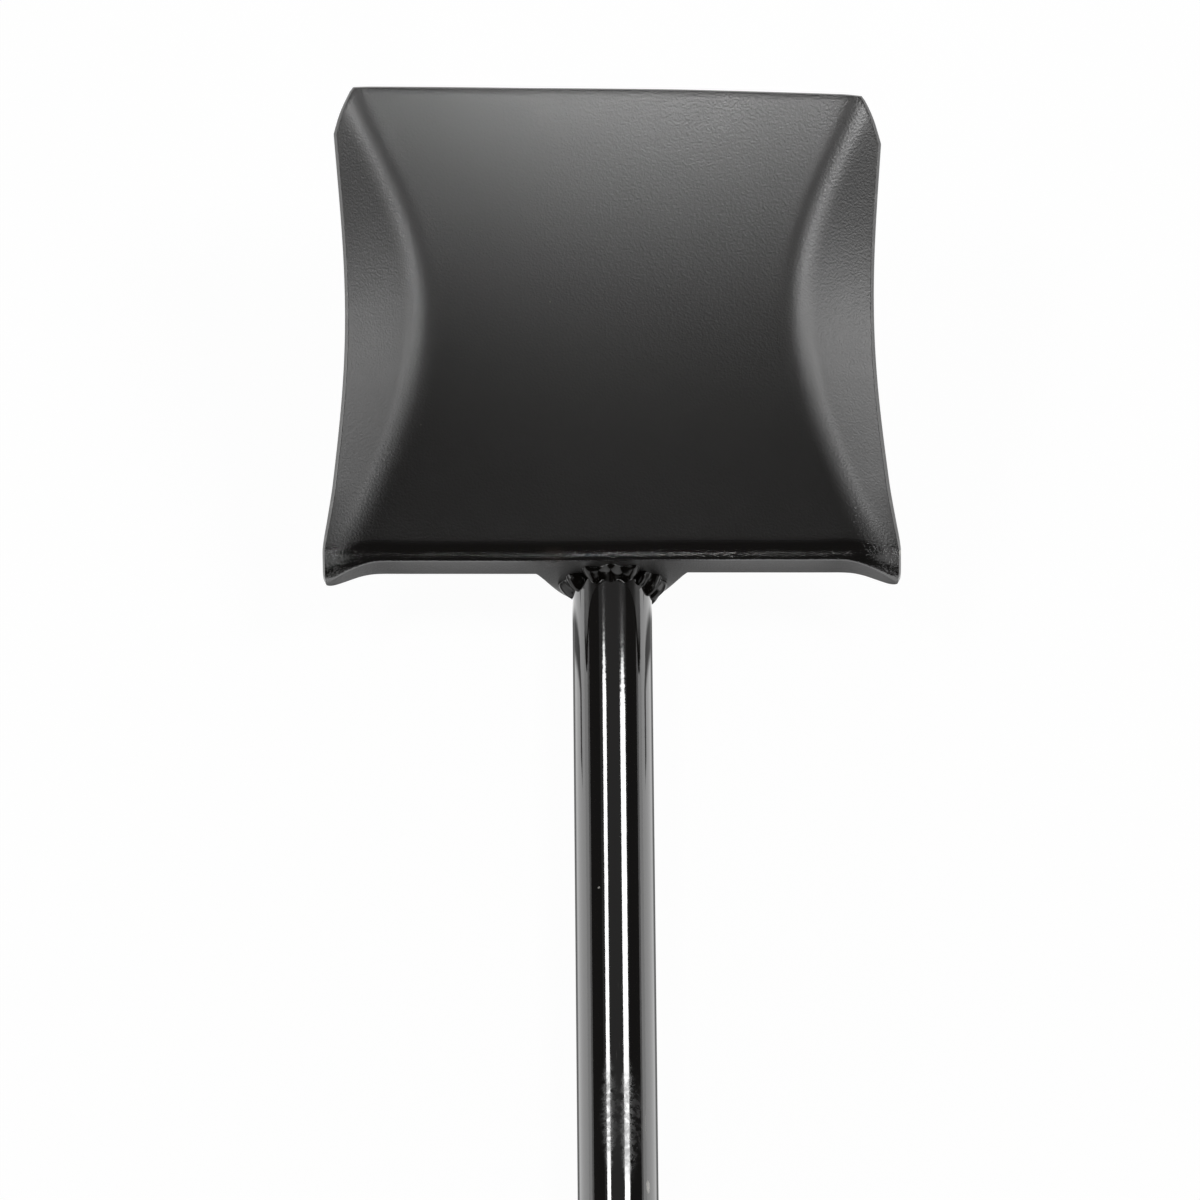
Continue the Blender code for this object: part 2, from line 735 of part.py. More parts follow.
def lay_down(tool):
    """Lay the tool on its back, with the origin below the middle of its length and width."""
    tool.rotation_euler.x = lying_tilt()
    bpy.context.view_layer.update()
    low, high = world_corners()
    tool.location = Vector((-(low.x + high.x) / 2, -(low.y + high.y) / 2, -low.z))
    bpy.context.view_layer.update()


def main():
    """Build every piece under the tool empty, then lay the tool down."""
    clear_scene()
    tool = bpy.data.objects.new("tool", None)
    bpy.context.scene.collection.objects.link(tool)
    build_blade(tool)
    build_shaft(tool)
    build_step_welds(tool)
    build_straps(tool)
    build_strap_welds(tool)
    build_grip(tool)
    lay_down(tool)


main()
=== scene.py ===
"""Studio scene of a square point spade: a finer piece for each solid, the finishes, the light and the camera.

Every piece is built in the tool's own frame, in metres, and then laid on the floor:
the shaft's axis runs along Y, with the blade at +Y and the grip at -Y,
+Z is the front, which is the hollow side of the blade,
and the origin is on the shaft's axis, in the handle-side face of the step.
"""

import logging
import math
from collections.abc import Mapping, Sequence
from dataclasses import dataclass
from enum import Enum

import bmesh
import bpy
from mathutils import Matrix, Vector, noise


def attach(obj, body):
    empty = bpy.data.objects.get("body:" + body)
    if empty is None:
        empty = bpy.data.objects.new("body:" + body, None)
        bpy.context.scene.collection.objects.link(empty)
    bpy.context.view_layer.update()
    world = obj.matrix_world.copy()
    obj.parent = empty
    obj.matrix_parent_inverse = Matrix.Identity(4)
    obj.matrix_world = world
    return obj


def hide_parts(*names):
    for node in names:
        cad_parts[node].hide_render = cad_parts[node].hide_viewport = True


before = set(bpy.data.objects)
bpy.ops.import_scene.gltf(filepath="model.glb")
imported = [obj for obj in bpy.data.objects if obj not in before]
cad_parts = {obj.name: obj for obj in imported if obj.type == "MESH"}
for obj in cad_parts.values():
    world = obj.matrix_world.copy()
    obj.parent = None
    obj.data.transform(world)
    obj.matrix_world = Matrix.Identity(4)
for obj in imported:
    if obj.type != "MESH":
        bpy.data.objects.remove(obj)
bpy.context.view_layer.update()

LOG = logging.getLogger("spade")
MM = 0.001

Point = tuple[float, float, float]

# The tool lies on its back, and the world's origin is on the floor below its middle.
TOOL_ORIGIN: Point = (-0.0000049, 0.3309678, 0.0194749)
TOOL = Matrix.Translation(TOOL_ORIGIN) @ Matrix.Rotation(0.0027996, 4, "X")


# Meshes


class Cap(Enum):
    """How the first and last row of a skin are closed."""

    OPEN = "open"
    FAN = "fan"
    STRIP = "strip"


def spaced(start: float, end: float, count: int) -> list[float]:
    """Evenly spaced values after the start, up to and with the end."""
    return [start + (end - start) * (i + 1) / count for i in range(count)]


def smooth(share: float) -> float:
    """A smooth step from 0 to 1, for a share that may lie outside."""
    share = min(max(share, 0.0), 1.0)
    return share * share * (3 - 2 * share)


def skin(
    name: str,
    rows: Sequence[Sequence[Vector]],
    cap: Cap = Cap.OPEN,
    loop: bool = False,
    layers: Mapping[str, Sequence[Sequence[float]]] | None = None,
    sharp_angle: float = math.radians(38),
) -> bpy.types.Mesh:
    """A smooth closed mesh through rings of points.

    Args:
        name: The mesh's name.
        rows: Rings of points, all with the same number of points.
        cap: How the first and last ring are closed.
        loop: Whether the last ring joins the first, as in a tube's wall.
        layers: Values for each point, by the name of the attribute that keeps them.
        sharp_angle: Edges that bend more than this stay sharp.

    Returns:
        The mesh, with the layers as attributes.
    """
    bm = bmesh.new()
    kept = {layer_name: bm.verts.layers.float.new(layer_name) for layer_name in layers or {}}
    verts = [[bm.verts.new(point) for point in row] for row in rows]
    for layer_name, layer in kept.items():
        for vert_row, value_row in zip(verts, layers[layer_name]):
            for vert, value in zip(vert_row, value_row):
                vert[layer] = value
    pairs = list(zip(verts, verts[1:]))
    if loop:
        pairs.append((verts[-1], verts[0]))
    count = len(rows[0])
    for near, far in pairs:
        for i in range(count):
            j = (i + 1) % count
            bm.faces.new((near[i], near[j], far[j], far[i]))
    for ring in (verts[0], verts[-1]) if cap is not Cap.OPEN else ():
        if cap is Cap.FAN:
            bm.faces.new(ring)
            continue
        for i in range(count // 2 - 1):
            bm.faces.new((ring[i], ring[i + 1], ring[count - 2 - i], ring[count - 1 - i]))
    bmesh.ops.remove_doubles(bm, verts=bm.verts, dist=1e-7)
    bmesh.ops.recalc_face_normals(bm, faces=bm.faces)
    mesh = bpy.data.meshes.new(name)
    bm.to_mesh(mesh)
    bm.free()
    mesh.shade_smooth()
    mesh.set_sharp_from_angle(angle=sharp_angle)
    return mesh


def turned(
    name: str,
    profile: Sequence[tuple[float, float]],
    axis: Vector,
    centre: Vector,
    steps: int,
    loop: bool = True,
) -> bpy.types.Mesh:
    """A turned mesh from (radius, along) points round an axis.

    Args:
        name: The mesh's name.
        profile: The section's points, closed by the loop or by radii of 0 at both ends.
        axis: The direction of the axis.
        centre: A point on the axis, from which the profile is measured.
        steps: Facets round a full turn.
        loop: Whether the profile closes on itself.

    Returns:
        The mesh.
    """
    first = axis.orthogonal().normalized()
    second = axis.cross(first)
    angles = [2 * math.pi * i / steps for i in range(steps)]
    rows = [
        [centre + axis * along + (first * math.cos(a) + second * math.sin(a)) * radius for a in angles]
        for radius, along in profile
    ]
    return skin(name, rows, loop=loop)


def rounded(
    corners: Sequence[tuple[float, float]], radius: float, steps: int = 4
) -> list[tuple[float, float]]:
    """A closed section with every corner rounded.

    Args:
        corners: The section's corners, in order.
        radius: How far from a corner the rounding starts.
        steps: Points along each rounding.

    Returns:
        The rounded section's points.
    """
    points = []
    for i, corner in enumerate(corners):
        here = Vector(corner)
        before = Vector(corners[i - 1])
        after = Vector(corners[(i + 1) % len(corners)])
        reach = min(radius, (before - here).length / 2, (after - here).length / 2)
        start = here + (before - here).normalized() * reach
        end = here + (after - here).normalized() * reach
        for share in [0.0, *spaced(0.0, 1.0, steps)]:
            point = start.lerp(here, share).lerp(here.lerp(end, share), share)
            points.append((point.x, point.y))
    return points


def supported(section: Sequence[tuple[float, float]], reach: float) -> list[tuple[float, float]]:
    """Add points near both ends of a closed section's long stretches, so that these shade as straight.

    Args:
        section: The section's points, in order.
        reach: How far from the ends the new points lie.

    Returns:
        The section with its new points.
    """
    points = []
    for i, point in enumerate(section):
        points.append(point)
        start = Vector(point)
        stretch = Vector(section[(i + 1) % len(section)]) - start
        if stretch.length > 4 * reach:
            inset = stretch.normalized() * reach
            points += [tuple(start + inset), tuple(start + stretch - inset)]
    return points


# Nodes and finishes


def linear(hex_colour: str) -> tuple[float, float, float, float]:
    """An sRGB hex colour as the linear values that shaders take."""
    channels = [int(hex_colour[i : i + 2], 16) / 255 for i in (1, 3, 5)]
    red, green, blue = (c / 12.92 if c <= 0.04045 else ((c + 0.055) / 1.055) ** 2.4 for c in channels)
    return red, green, blue, 1.0


def add_node(
    tree: bpy.types.NodeTree,
    kind: str,
    settings: Mapping[str | int, object] | None = None,
    links: Mapping[str | int, bpy.types.NodeSocket] | None = None,
) -> bpy.types.Node:
    """Add a node with its settings and links.

    Args:
        tree: The node tree that the node goes into.
        kind: Blender's name for the type of node.
        settings: Values by the input's name or number, or by the name of the node's own property.
        links: The output that feeds each input, by the input's name or number.

    Returns:
        The new node.
    """
    node = tree.nodes.new(kind)
    for key, value in (settings or {}).items():
        if isinstance(key, int) or key in node.inputs:
            node.inputs[key].default_value = value
        else:
            setattr(node, key, value)
    for key, source in (links or {}).items():
        tree.links.new(source, node.inputs[key])
    return node


class Graph:
    """A new material's nodes, and the place of a point in the tool's frame.

    Attributes:
        material: The material.
        tree: Its node tree.
        shader: Its Principled shader.
        place: The output with a point's place, in metres. The tool's tilt of 0.16 degrees is left out.
    """

    def __init__(self, name: str) -> None:
        """Start a material of the given name."""
        self.material = bpy.data.materials.new(name)
        self.material.use_nodes = True
        self.tree = self.material.node_tree
        self.shader = self.tree.nodes["Principled BSDF"]
        world_place = add_node(self.tree, "ShaderNodeTexCoord").outputs["Object"]
        self.place = self.vector("SUBTRACT", world_place, TOOL_ORIGIN)

    def node(
        self, kind: str, parts: Mapping[str | int, object], settings: Mapping[str, str] | None = None
    ) -> bpy.types.Node:
        """Add a node whose inputs are given in one mapping.

        Args:
            kind: Blender's name for the type of node.
            parts: For each input, by its name or number, a value, an sRGB hex colour or an output.
            settings: The node's own properties, by name.

        Returns:
            The new node.
        """
        values = dict(settings or {})
        links = {}
        for key, part in parts.items():
            if isinstance(part, bpy.types.NodeSocket):
                links[key] = part
            else:
                values[key] = linear(part) if isinstance(part, str) else part
        return add_node(self.tree, kind, values, links)

    def maths(self, operation: str, *parts: bpy.types.NodeSocket | float) -> bpy.types.NodeSocket:
        """The result of an operation on values."""
        return self.node("ShaderNodeMath", dict(enumerate(parts)), {"operation": operation}).outputs[0]

    def vector(self, operation: str, *parts: bpy.types.NodeSocket | Point) -> bpy.types.NodeSocket:
        """The result of an operation on vectors."""
        outputs = self.node("ShaderNodeVectorMath", dict(enumerate(parts)), {"operation": operation}).outputs
        return outputs["Value"] if operation == "LENGTH" else outputs[0]

    def ranged(
        self, value: bpy.types.NodeSocket, limits: Mapping[str, float], kind: str = "LINEAR"
    ) -> bpy.types.NodeSocket:
        """A value moved from one range to another, with its ends held.

        Args:
            value: The output to move.
            limits: The ends of both ranges, where they aren't 0 and 1.
            kind: How the value runs between the ends.

        Returns:
            The output with the moved value.
        """
        parts = {"Value": value, **limits}
        return self.node("ShaderNodeMapRange", parts, {"interpolation_type": kind}).outputs[0]

    def noise(self, width_mm: float, detail: float) -> bpy.types.NodeSocket:
        """Soft clouds of a given width."""
        parts = {"Scale": 1 / (width_mm * MM), "Detail": detail, "Vector": self.place}
        return self.node("ShaderNodeTexNoise", parts).outputs[0]

    def blend(self, share: bpy.types.NodeSocket, first: object, second: object) -> bpy.types.NodeSocket:
        """A blend of two values, each a number or an output."""
        return self.node("ShaderNodeMix", {0: share, 2: first, 3: second}).outputs[0]

    def tint(self, share: bpy.types.NodeSocket, first: object, second: object) -> bpy.types.NodeSocket:
        """A blend of two colours, each an sRGB hex colour or an output."""
        return self.node("ShaderNodeMix", {0: share, 6: first, 7: second}, {"data_type": "RGBA"}).outputs[2]

    def bump(
        self, depth_mm: float, height: bpy.types.NodeSocket, normal: bpy.types.NodeSocket | None = None
    ) -> bpy.types.NodeSocket:
        """A normal bent by a height, on top of an earlier normal if there is one."""
        parts = {"Distance": depth_mm * MM, "Height": height}
        if normal:
            parts["Normal"] = normal
        return self.node("ShaderNodeBump", parts).outputs[0]

    def layer(self, name: str) -> bpy.types.NodeSocket:
        """The values of one of the mesh's layers."""
        return self.node("ShaderNodeAttribute", {}, {"attribute_name": name}).outputs["Fac"]

    def feed(self, name: str, output: bpy.types.NodeSocket) -> None:
        """Link an output into the shader."""
        self.tree.links.new(output, self.shader.inputs[name])

    def fix(self, name: str, value: float) -> None:
        """Set a constant on the shader's own socket."""
        self.shader.inputs[name].default_value = value


@dataclass(frozen=True)
class Patch:
    """A soft-edged place on the tool, in the tool's frame.

    Attributes:
        centre: The middle of the patch, in metres.
        reach: How far it reaches along each axis, in metres.
    """

    centre: Point
    reach: Point

    def mask(self, graph: Graph) -> bpy.types.NodeSocket:
        """A mask that is 1 in the middle of the patch and 0 outside it."""
        moved = graph.vector("SUBTRACT", graph.place, self.centre)
        away = graph.vector("LENGTH", graph.vector("DIVIDE", moved, self.reach))
        return graph.ranged(away, {"From Min": 1.0, "From Max": 0.35}, "SMOOTHSTEP")


def joined_masks(graph: Graph, patches: Sequence[Patch]) -> bpy.types.NodeSocket:
    """Join several patches into one mask.

    Args:
        graph: The material's nodes.
        patches: The patches, at least one.

    Returns:
        An output with the strongest of the patches at each point.
    """
    mask = patches[0].mask(graph)
    for patch in patches[1:]:
        mask = graph.maths("MAXIMUM", mask, patch.mask(graph))
    return mask


@dataclass(frozen=True)
class Enamel:
    """Black enamel, sprayed on the finished steel and baked.

    To the eye it is a near black skin with clear reflections, a faint orange peel,
    a few specks of dust, and dull or chipped places where the tool has been handled.

    Attributes:
        name: The material's name.
        colour: The paint's own colour, as it looks without reflections.
        thin_colour: Its colour where the film is thinner.
        gloss_roughness: Roughness where the paint has flowed out smooth.
        satin_roughness: Roughness where the paint has dried satin.
        satin_layer: The mesh's layer that says where the paint is satin, or None for gloss all over.
        ior: Refractive index of the resin, set high because the baked film mirrors strongly.
        specular: Strength of the film's own mirroring.
        coat: Weight of the clear top of a gloss film.
        peel_mm: Width of the orange peel's cells.
        peel_depth_mm: Depth of the orange peel.
        wave_mm: Width of the slow waves in the steel below.
        wave_depth_mm: Depth of those waves.
        grain_depth_mm: Depth of the fine grain of the satin paint.
        dust_cell_mm: Width of the cells that hold one speck of dust at most.
        dull: Places rubbed dull by handling.
        scratched: Places with fine scratches.
        chipped: Places where the bare steel shows.
        stained: Places with a thin brown stain.
    """

    name: str
    colour: str = "#120E0B"
    thin_colour: str = "#0F0D0B"
    gloss_roughness: float = 0.06
    satin_roughness: float = 0.35
    satin_layer: str | None = None
    ior: float = 1.6
    specular: float = 1.0
    coat: float = 0.0
    peel_mm: float = 2.4
    peel_depth_mm: float = 0.010
    wave_mm: float = 55.0
    wave_depth_mm: float = 0.10
    grain_depth_mm: float = 0.0
    dust_cell_mm: float = 14.0
    dull: tuple[Patch, ...] = ()
    scratched: tuple[Patch, ...] = ()
    chipped: tuple[Patch, ...] = ()
    stained: tuple[Patch, ...] = ()

    def material(self) -> bpy.types.Material:
        """Build the enamel."""
        graph = Graph(self.name)
        graph.fix("IOR", self.ior)
        graph.fix("Specular IOR Level", self.specular)
        graph.fix("Coat Weight", self.coat)
        graph.fix("Coat Roughness", 0.03)
        graph.fix("Coat IOR", 1.6)
        marks = self.marks(graph)
        graph.feed("Base Color", self.colours(graph, marks))
        graph.feed("Roughness", self.roughness(graph, marks))
        normal = self.relief(graph, marks)
        graph.feed("Normal", normal)
        if self.coat:
            graph.feed("Coat Normal", normal)
        return graph.material

    def marks(self, graph: Graph) -> dict[str, bpy.types.NodeSocket]:
        """Build the masks of the paint's marks.

        Args:
            graph: The material's nodes.

        Returns:
            The outputs of the masks by their names.
        """
        # Dust specks are about 0.4 mm, and only some of the cells have one.
        parts = {"Scale": 1 / (self.dust_cell_mm * MM), "Vector": graph.place}
        cells = graph.node("ShaderNodeTexVoronoi", parts).outputs
        speck = graph.ranged(cells["Distance"], {"From Min": 0.030, "From Max": 0.012})
        chosen = graph.maths("GREATER_THAN", cells["Color"], 0.55)
        masks = {"dust": graph.maths("MULTIPLY", speck, chosen)}
        if self.scratched:
            places = joined_masks(graph, self.scratched)
            masks["scratch"] = graph.maths("MULTIPLY", self.streaks(graph), places)
        for name, patches in (("dull", self.dull), ("chip", self.chipped), ("stain", self.stained)):
            if patches:
                masks[name] = joined_masks(graph, patches)
        return masks

    def streaks(self, graph: Graph) -> bpy.types.NodeSocket:
        """Fine scratches, about 0.5 mm wide and 9 mm long, that lie slanted across the shaft."""
        scale = (1 / (0.9 * MM), 1 / (14 * MM), 1 / (6 * MM))
        turn = (0.0, 0.0, math.radians(-24))
        slant = graph.node("ShaderNodeMapping", {"Rotation": turn, "Scale": scale, "Vector": graph.place})
        parts = {"Scale": 1.0, "Detail": 1.0, "Vector": slant.outputs[0]}
        lines = graph.node("ShaderNodeTexNoise", parts).outputs[0]
        return graph.ranged(lines, {"From Min": 0.63, "From Max": 0.70})

    def colours(self, graph: Graph, marks: Mapping[str, bpy.types.NodeSocket]) -> bpy.types.NodeSocket:
        """Build the paint's colour, with its marks.

        Args:
            graph: The material's nodes.
            marks: The masks of the marks.

        Returns:
            The output with the colour.
        """
        # The film is a little thicker or thinner over some 30 mm, which warms or cools the black.
        colour = graph.tint(graph.noise(30, 3.0), self.colour, self.thin_colour)
        # Paint is thin on a cut edge, so small parts of it have rubbed through to grey.
        worn = graph.maths("MULTIPLY", graph.layer("rim"), graph.noise(5, 4.0))
        rubbed = graph.ranged(worn, {"From Min": 0.58, "From Max": 0.66})
        layers = [
            (rubbed, "#4A4846"),
            (marks["dust"], "#6F6A62"),
            (marks.get("stain"), "#241C17"),
            (marks.get("scratch"), "#6E6B66"),
            (marks.get("chip"), "#C9C6C0"),
        ]
        for mask, tone in layers:
            if mask:
                colour = graph.tint(mask, colour, tone)
        return colour

    def roughness(self, graph: Graph, marks: Mapping[str, bpy.types.NodeSocket]) -> bpy.types.NodeSocket:
        """Build the paint's roughness, from gloss to satin, with the dull places.

        Args:
            graph: The material's nodes.
            marks: The masks of the marks.

        Returns:
            The output with the roughness.
        """
        uneven = graph.noise(9, 4.0)
        if self.satin_layer is None:
            low, high = self.gloss_roughness * 0.8, self.gloss_roughness * 1.2
            value = graph.ranged(uneven, {"To Min": low, "To Max": high})
        else:
            limits = {"To Min": self.gloss_roughness, "To Max": self.satin_roughness}
            base = graph.ranged(graph.layer(self.satin_layer), limits)
            value = graph.maths("MULTIPLY_ADD", uneven, 0.05, base)
        for name, rough in (("dull", 0.40), ("stain", 0.22), ("scratch", 0.40), ("chip", 0.5)):
            if name not in marks:
                continue
            mask = marks[name]
            if name == "dull":
                # Handling leaves the dull places blotchy, in blots of about 2 mm.
                blotchy = graph.ranged(graph.noise(2, 4.0), {"From Min": 0.30, "From Max": 0.62})
                mask = graph.maths("MULTIPLY", mask, blotchy)
            value = graph.blend(mask, value, rough)
        return value

    def relief(self, graph: Graph, marks: Mapping[str, bpy.types.NodeSocket]) -> bpy.types.NodeSocket:
        """Build the paint's relief: slow waves, orange peel, grain and specks.

        Args:
            graph: The material's nodes.
            marks: The masks of the marks.

        Returns:
            The output with the normal.
        """
        steps = [(self.wave_mm, 0.0, self.wave_depth_mm), (self.peel_mm, 1.0, self.peel_depth_mm)]
        if self.grain_depth_mm:
            # The real grain is about 0.2 mm and is drawn at 0.9 mm, so that it shows at this distance.
            steps.append((0.9, 1.0, self.grain_depth_mm))
        normal = None
        for size_mm, detail, depth_mm in steps:
            normal = graph.bump(depth_mm, graph.noise(size_mm, detail), normal)
        return graph.bump(0.05, marks["dust"], normal)


@dataclass(frozen=True)
class ZincPlate:
    """Bright zinc plate on turned or stamped steel.

    To the eye it is a cool grey metal with a soft shine and the fine rings of the tool that cut it.

    Attributes:
        name: The material's name.
        axis_y: Where the axis of the rings crosses the tool's Y axis.
        colour: The plate's colour.
        roughness: The plate's roughness.
        ring_mm: Distance between the rings.
    """

    name: str
    axis_y: float
    colour: str = "#BFC2C4"
    roughness: float = 0.30
    ring_mm: float = 0.35

    def material(self) -> bpy.types.Material:
        """Build the plate."""
        graph = Graph(self.name)
        graph.fix("Metallic", 1.0)
        cloud = graph.noise(4, 5.0)
        graph.feed("Base Color", graph.tint(cloud, self.colour, "#A9A79C"))
        limits = {"To Min": self.roughness * 0.7, "To Max": self.roughness * 1.4}
        graph.feed("Roughness", graph.ranged(cloud, limits))
        moved = graph.vector("SUBTRACT", graph.place, (0.0, self.axis_y, 0.0))
        radius = graph.vector("LENGTH", graph.vector("MULTIPLY", moved, (0.0, 1.0, 1.0)))
        turns = graph.maths("MULTIPLY", radius, 2 * math.pi / (self.ring_mm * MM))
        graph.feed("Normal", graph.bump(0.004, graph.maths("SINE", turns)))
        return graph.material


@dataclass(frozen=True)
class MouldedBlack:
    """Black rubber or plastic from a mould with a fine spark-eroded grain.

    To the eye it is a soft, slightly grey black, with dust in soft clouds and a dull even shine.

    Attributes:
        name: The material's name.
        colour: The compound's colour.
        roughness: Roughness of the moulded face.
        grain_mm: Width of the mould's grain.
        grain_depth_mm: Depth of that grain.
        dust: How much dust lies in the clouds, from 0 to 1.
    """

    name: str
    colour: str
    roughness: float
    grain_mm: float
    grain_depth_mm: float
    dust: float

    def material(self) -> bpy.types.Material:
        """Build the moulded face."""
        graph = Graph(self.name)
        graph.fix("IOR", 1.52)
        cloud = graph.noise(7, 6.0)
        dusty = graph.ranged(cloud, {"From Min": 0.42, "From Max": 0.75, "To Max": self.dust})
        graph.feed("Base Color", graph.tint(dusty, self.colour, "#4B4742"))
        limits = {"To Min": self.roughness - 0.08, "To Max": self.roughness + 0.08}
        graph.feed("Roughness", graph.ranged(cloud, limits))
        graph.feed("Normal", graph.bump(self.grain_depth_mm, graph.noise(self.grain_mm, 2.0)))
        return graph.material


@dataclass(frozen=True)
class PaperFloor:
    """Matt white paper, lit to white for the camera, with the tool's own soft shadow on it. In the paint's
    reflections it glows, with painted shade in soft-edged boxes.

    Attributes:
        colour: The paper's colour.
        seen_glow: Share of plain light that the camera sees in place of the lit paper.
        seen_strength: Brightness of that light.
        mirrored_open: Brightness of the open paper's glow, as the paint mirrors it.
        mirrored_painted_shade: Brightness of the painted shade in that glow, which no lamp casts.
        painted_shades: Each box of painted shade, as its middle and half sizes across and along the tool.
        painted_shade_edge: Width of a painted shade's soft edge.
    """

    colour: str = "#F4F4F4"
    seen_glow: float = 0.90
    seen_strength: float = 1.07
    mirrored_open: float = 1.2
    mirrored_painted_shade: float = 0.20
    # Boxes of painted shade in the mirrored glow: under the blade, under the tube, on the far paper past the
    # grip, in front of the step on both sides, and beside both noses.
    painted_shades: tuple[tuple[float, float, float, float], ...] = (
        (0.0, 0.1150, 0.1250, 0.0850),
        (0.0, -0.3700, 0.0280, 0.3600),
        (0.0, -2.8000, 4.0000, 1.8000),
        (-0.0620, -0.0130, 0.0280, 0.0050),
        (0.0620, -0.0130, 0.0280, 0.0050),
        (-0.1120, -0.0300, 0.0180, 0.0160),
        (0.1120, -0.0300, 0.0180, 0.0160),
    )
    painted_shade_edge: float = 0.010

    def material(self) -> bpy.types.Material:
        """Build the paper."""
        graph = Graph("white_paper")
        graph.tree.nodes.remove(graph.shader)
        # The paper's fibres are some 0.5 mm, far below what shows, and are drawn as faint 3 mm clouds.
        tone = graph.tint(graph.noise(3, 3.0), self.colour, "#EFEFEE")
        lit = graph.node("ShaderNodeBsdfDiffuse", {"Color": tone}).outputs[0]
        path = graph.node("ShaderNodeLightPath", {}).outputs
        # The paint mirrors the paper as a glow, darkened to painted shade inside the boxes.
        mirrored = graph.blend(self.shade(graph), self.mirrored_open, self.mirrored_painted_shade)
        strength = graph.blend(path["Is Camera Ray"], mirrored, self.seen_strength)
        glow = graph.node("ShaderNodeEmission", {"Strength": strength}).outputs[0]
        mirrors = graph.maths("MAXIMUM", path["Is Glossy Ray"], path["Is Transmission Ray"])
        share = graph.maths("MULTIPLY_ADD", path["Is Camera Ray"], self.seen_glow, mirrors)
        mixed = graph.node("ShaderNodeMixShader", {0: share, 1: lit, 2: glow}).outputs[0]
        graph.tree.links.new(mixed, graph.tree.nodes["Material Output"].inputs["Surface"])
        return graph.material

    def shade(self, graph: Graph) -> bpy.types.NodeSocket:
        """A mask of the painted shade: 1 in its boxes and 0 on the open paper."""
        boxes = []
        for x, y, half_x, half_y in self.painted_shades:
            size = graph.vector("ABSOLUTE", graph.vector("SUBTRACT", graph.place, (x, y, 0.0)))
            axes = graph.node("ShaderNodeSeparateXYZ", {0: size}).outputs
            sides = [
                graph.ranged(
                    axes[axis], {"From Min": half + self.painted_shade_edge, "From Max": half}, "SMOOTHSTEP"
                )
                for axis, half in (("X", half_x), ("Y", half_y))
            ]
            boxes.append(graph.maths("MULTIPLY", *sides))
        mask = boxes[0]
        for box in boxes[1:]:
            mask = graph.maths("MAXIMUM", mask, box)
        return mask


# Finishes of this tool, with marks at the places where the photograph shows them

BLADE_ENAMEL = Enamel(
    name="satin_black_baked_enamel",
    gloss_roughness=0.10,
    satin_roughness=0.38,
    satin_layer="satin",
    ior=1.65,
    wave_depth_mm=0.12,
    grain_depth_mm=0.120,
    stained=(Patch((-0.0230, 0.002, 0.030), (0.007, 0.004, 0.012)),),
    # A small light grey spot on the right nose's edge.
    chipped=(Patch((0.1146, 0.0000, 0.0355), (0.0016, 0.0016, 0.0016)),),
)
SHAFT_ENAMEL = Enamel(
    name="gloss_black_baked_enamel_on_tube",
    gloss_roughness=0.06,
    ior=1.6,
    coat=1.0,
    dull=(
        Patch((0.0050, -0.2270, 0.0150), (0.0075, 0.0300, 0.0120)),
        Patch((-0.0030, -0.2230, 0.0150), (0.0060, 0.0280, 0.0120)),
    ),
    scratched=(
        Patch((0.0012, -0.1800, 0.0158), (0.0035, 0.0110, 0.0060)),
        Patch((0.0000, -0.1940, 0.0158), (0.0035, 0.0090, 0.0060)),
        Patch((0.0090, -0.2250, 0.0130), (0.0050, 0.0120, 0.0080)),
    ),
    chipped=(
        Patch((-0.0064, -0.1310, 0.0145), (0.0006, 0.0006, 0.0040)),
        Patch((0.0118, -0.2520, 0.0106), (0.0010, 0.0034, 0.0040)),
    ),
)
WELD_ENAMEL = Enamel(
    name="gloss_black_baked_enamel_on_welds",
    gloss_roughness=0.13,
    ior=1.42,
    specular=0.5,
    wave_mm=6.0,
    wave_depth_mm=0.04,
)
STRAP_ENAMEL = Enamel(
    name="gloss_black_baked_enamel_on_straps",
    gloss_roughness=0.08,
    ior=1.5,
    coat=1.0,
)


# The tool's pieces


class Assembly:
    """What the sub-assemblies share: how a piece takes the place of its solid."""

    def add(self, name: str, mesh: bpy.types.Mesh, material: bpy.types.Material) -> bpy.types.Object:
        """Put a piece where its solid is, and hide the solid.

        Args:
            name: The solid's name, which is also the name of its material slot.
            mesh: The piece's mesh, in the tool's frame.
            material: The piece's finish.

        Returns:
            The piece.
        """
        mesh.transform(TOOL)
        mesh.materials.append(material)
        piece = bpy.data.objects.new(f"{name}_form", mesh)
        bpy.context.scene.collection.objects.link(piece)
        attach(piece, "root")
        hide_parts(name)
        LOG.info("%s: %d faces, %s", piece.name, len(mesh.polygons), material.name)
        return piece


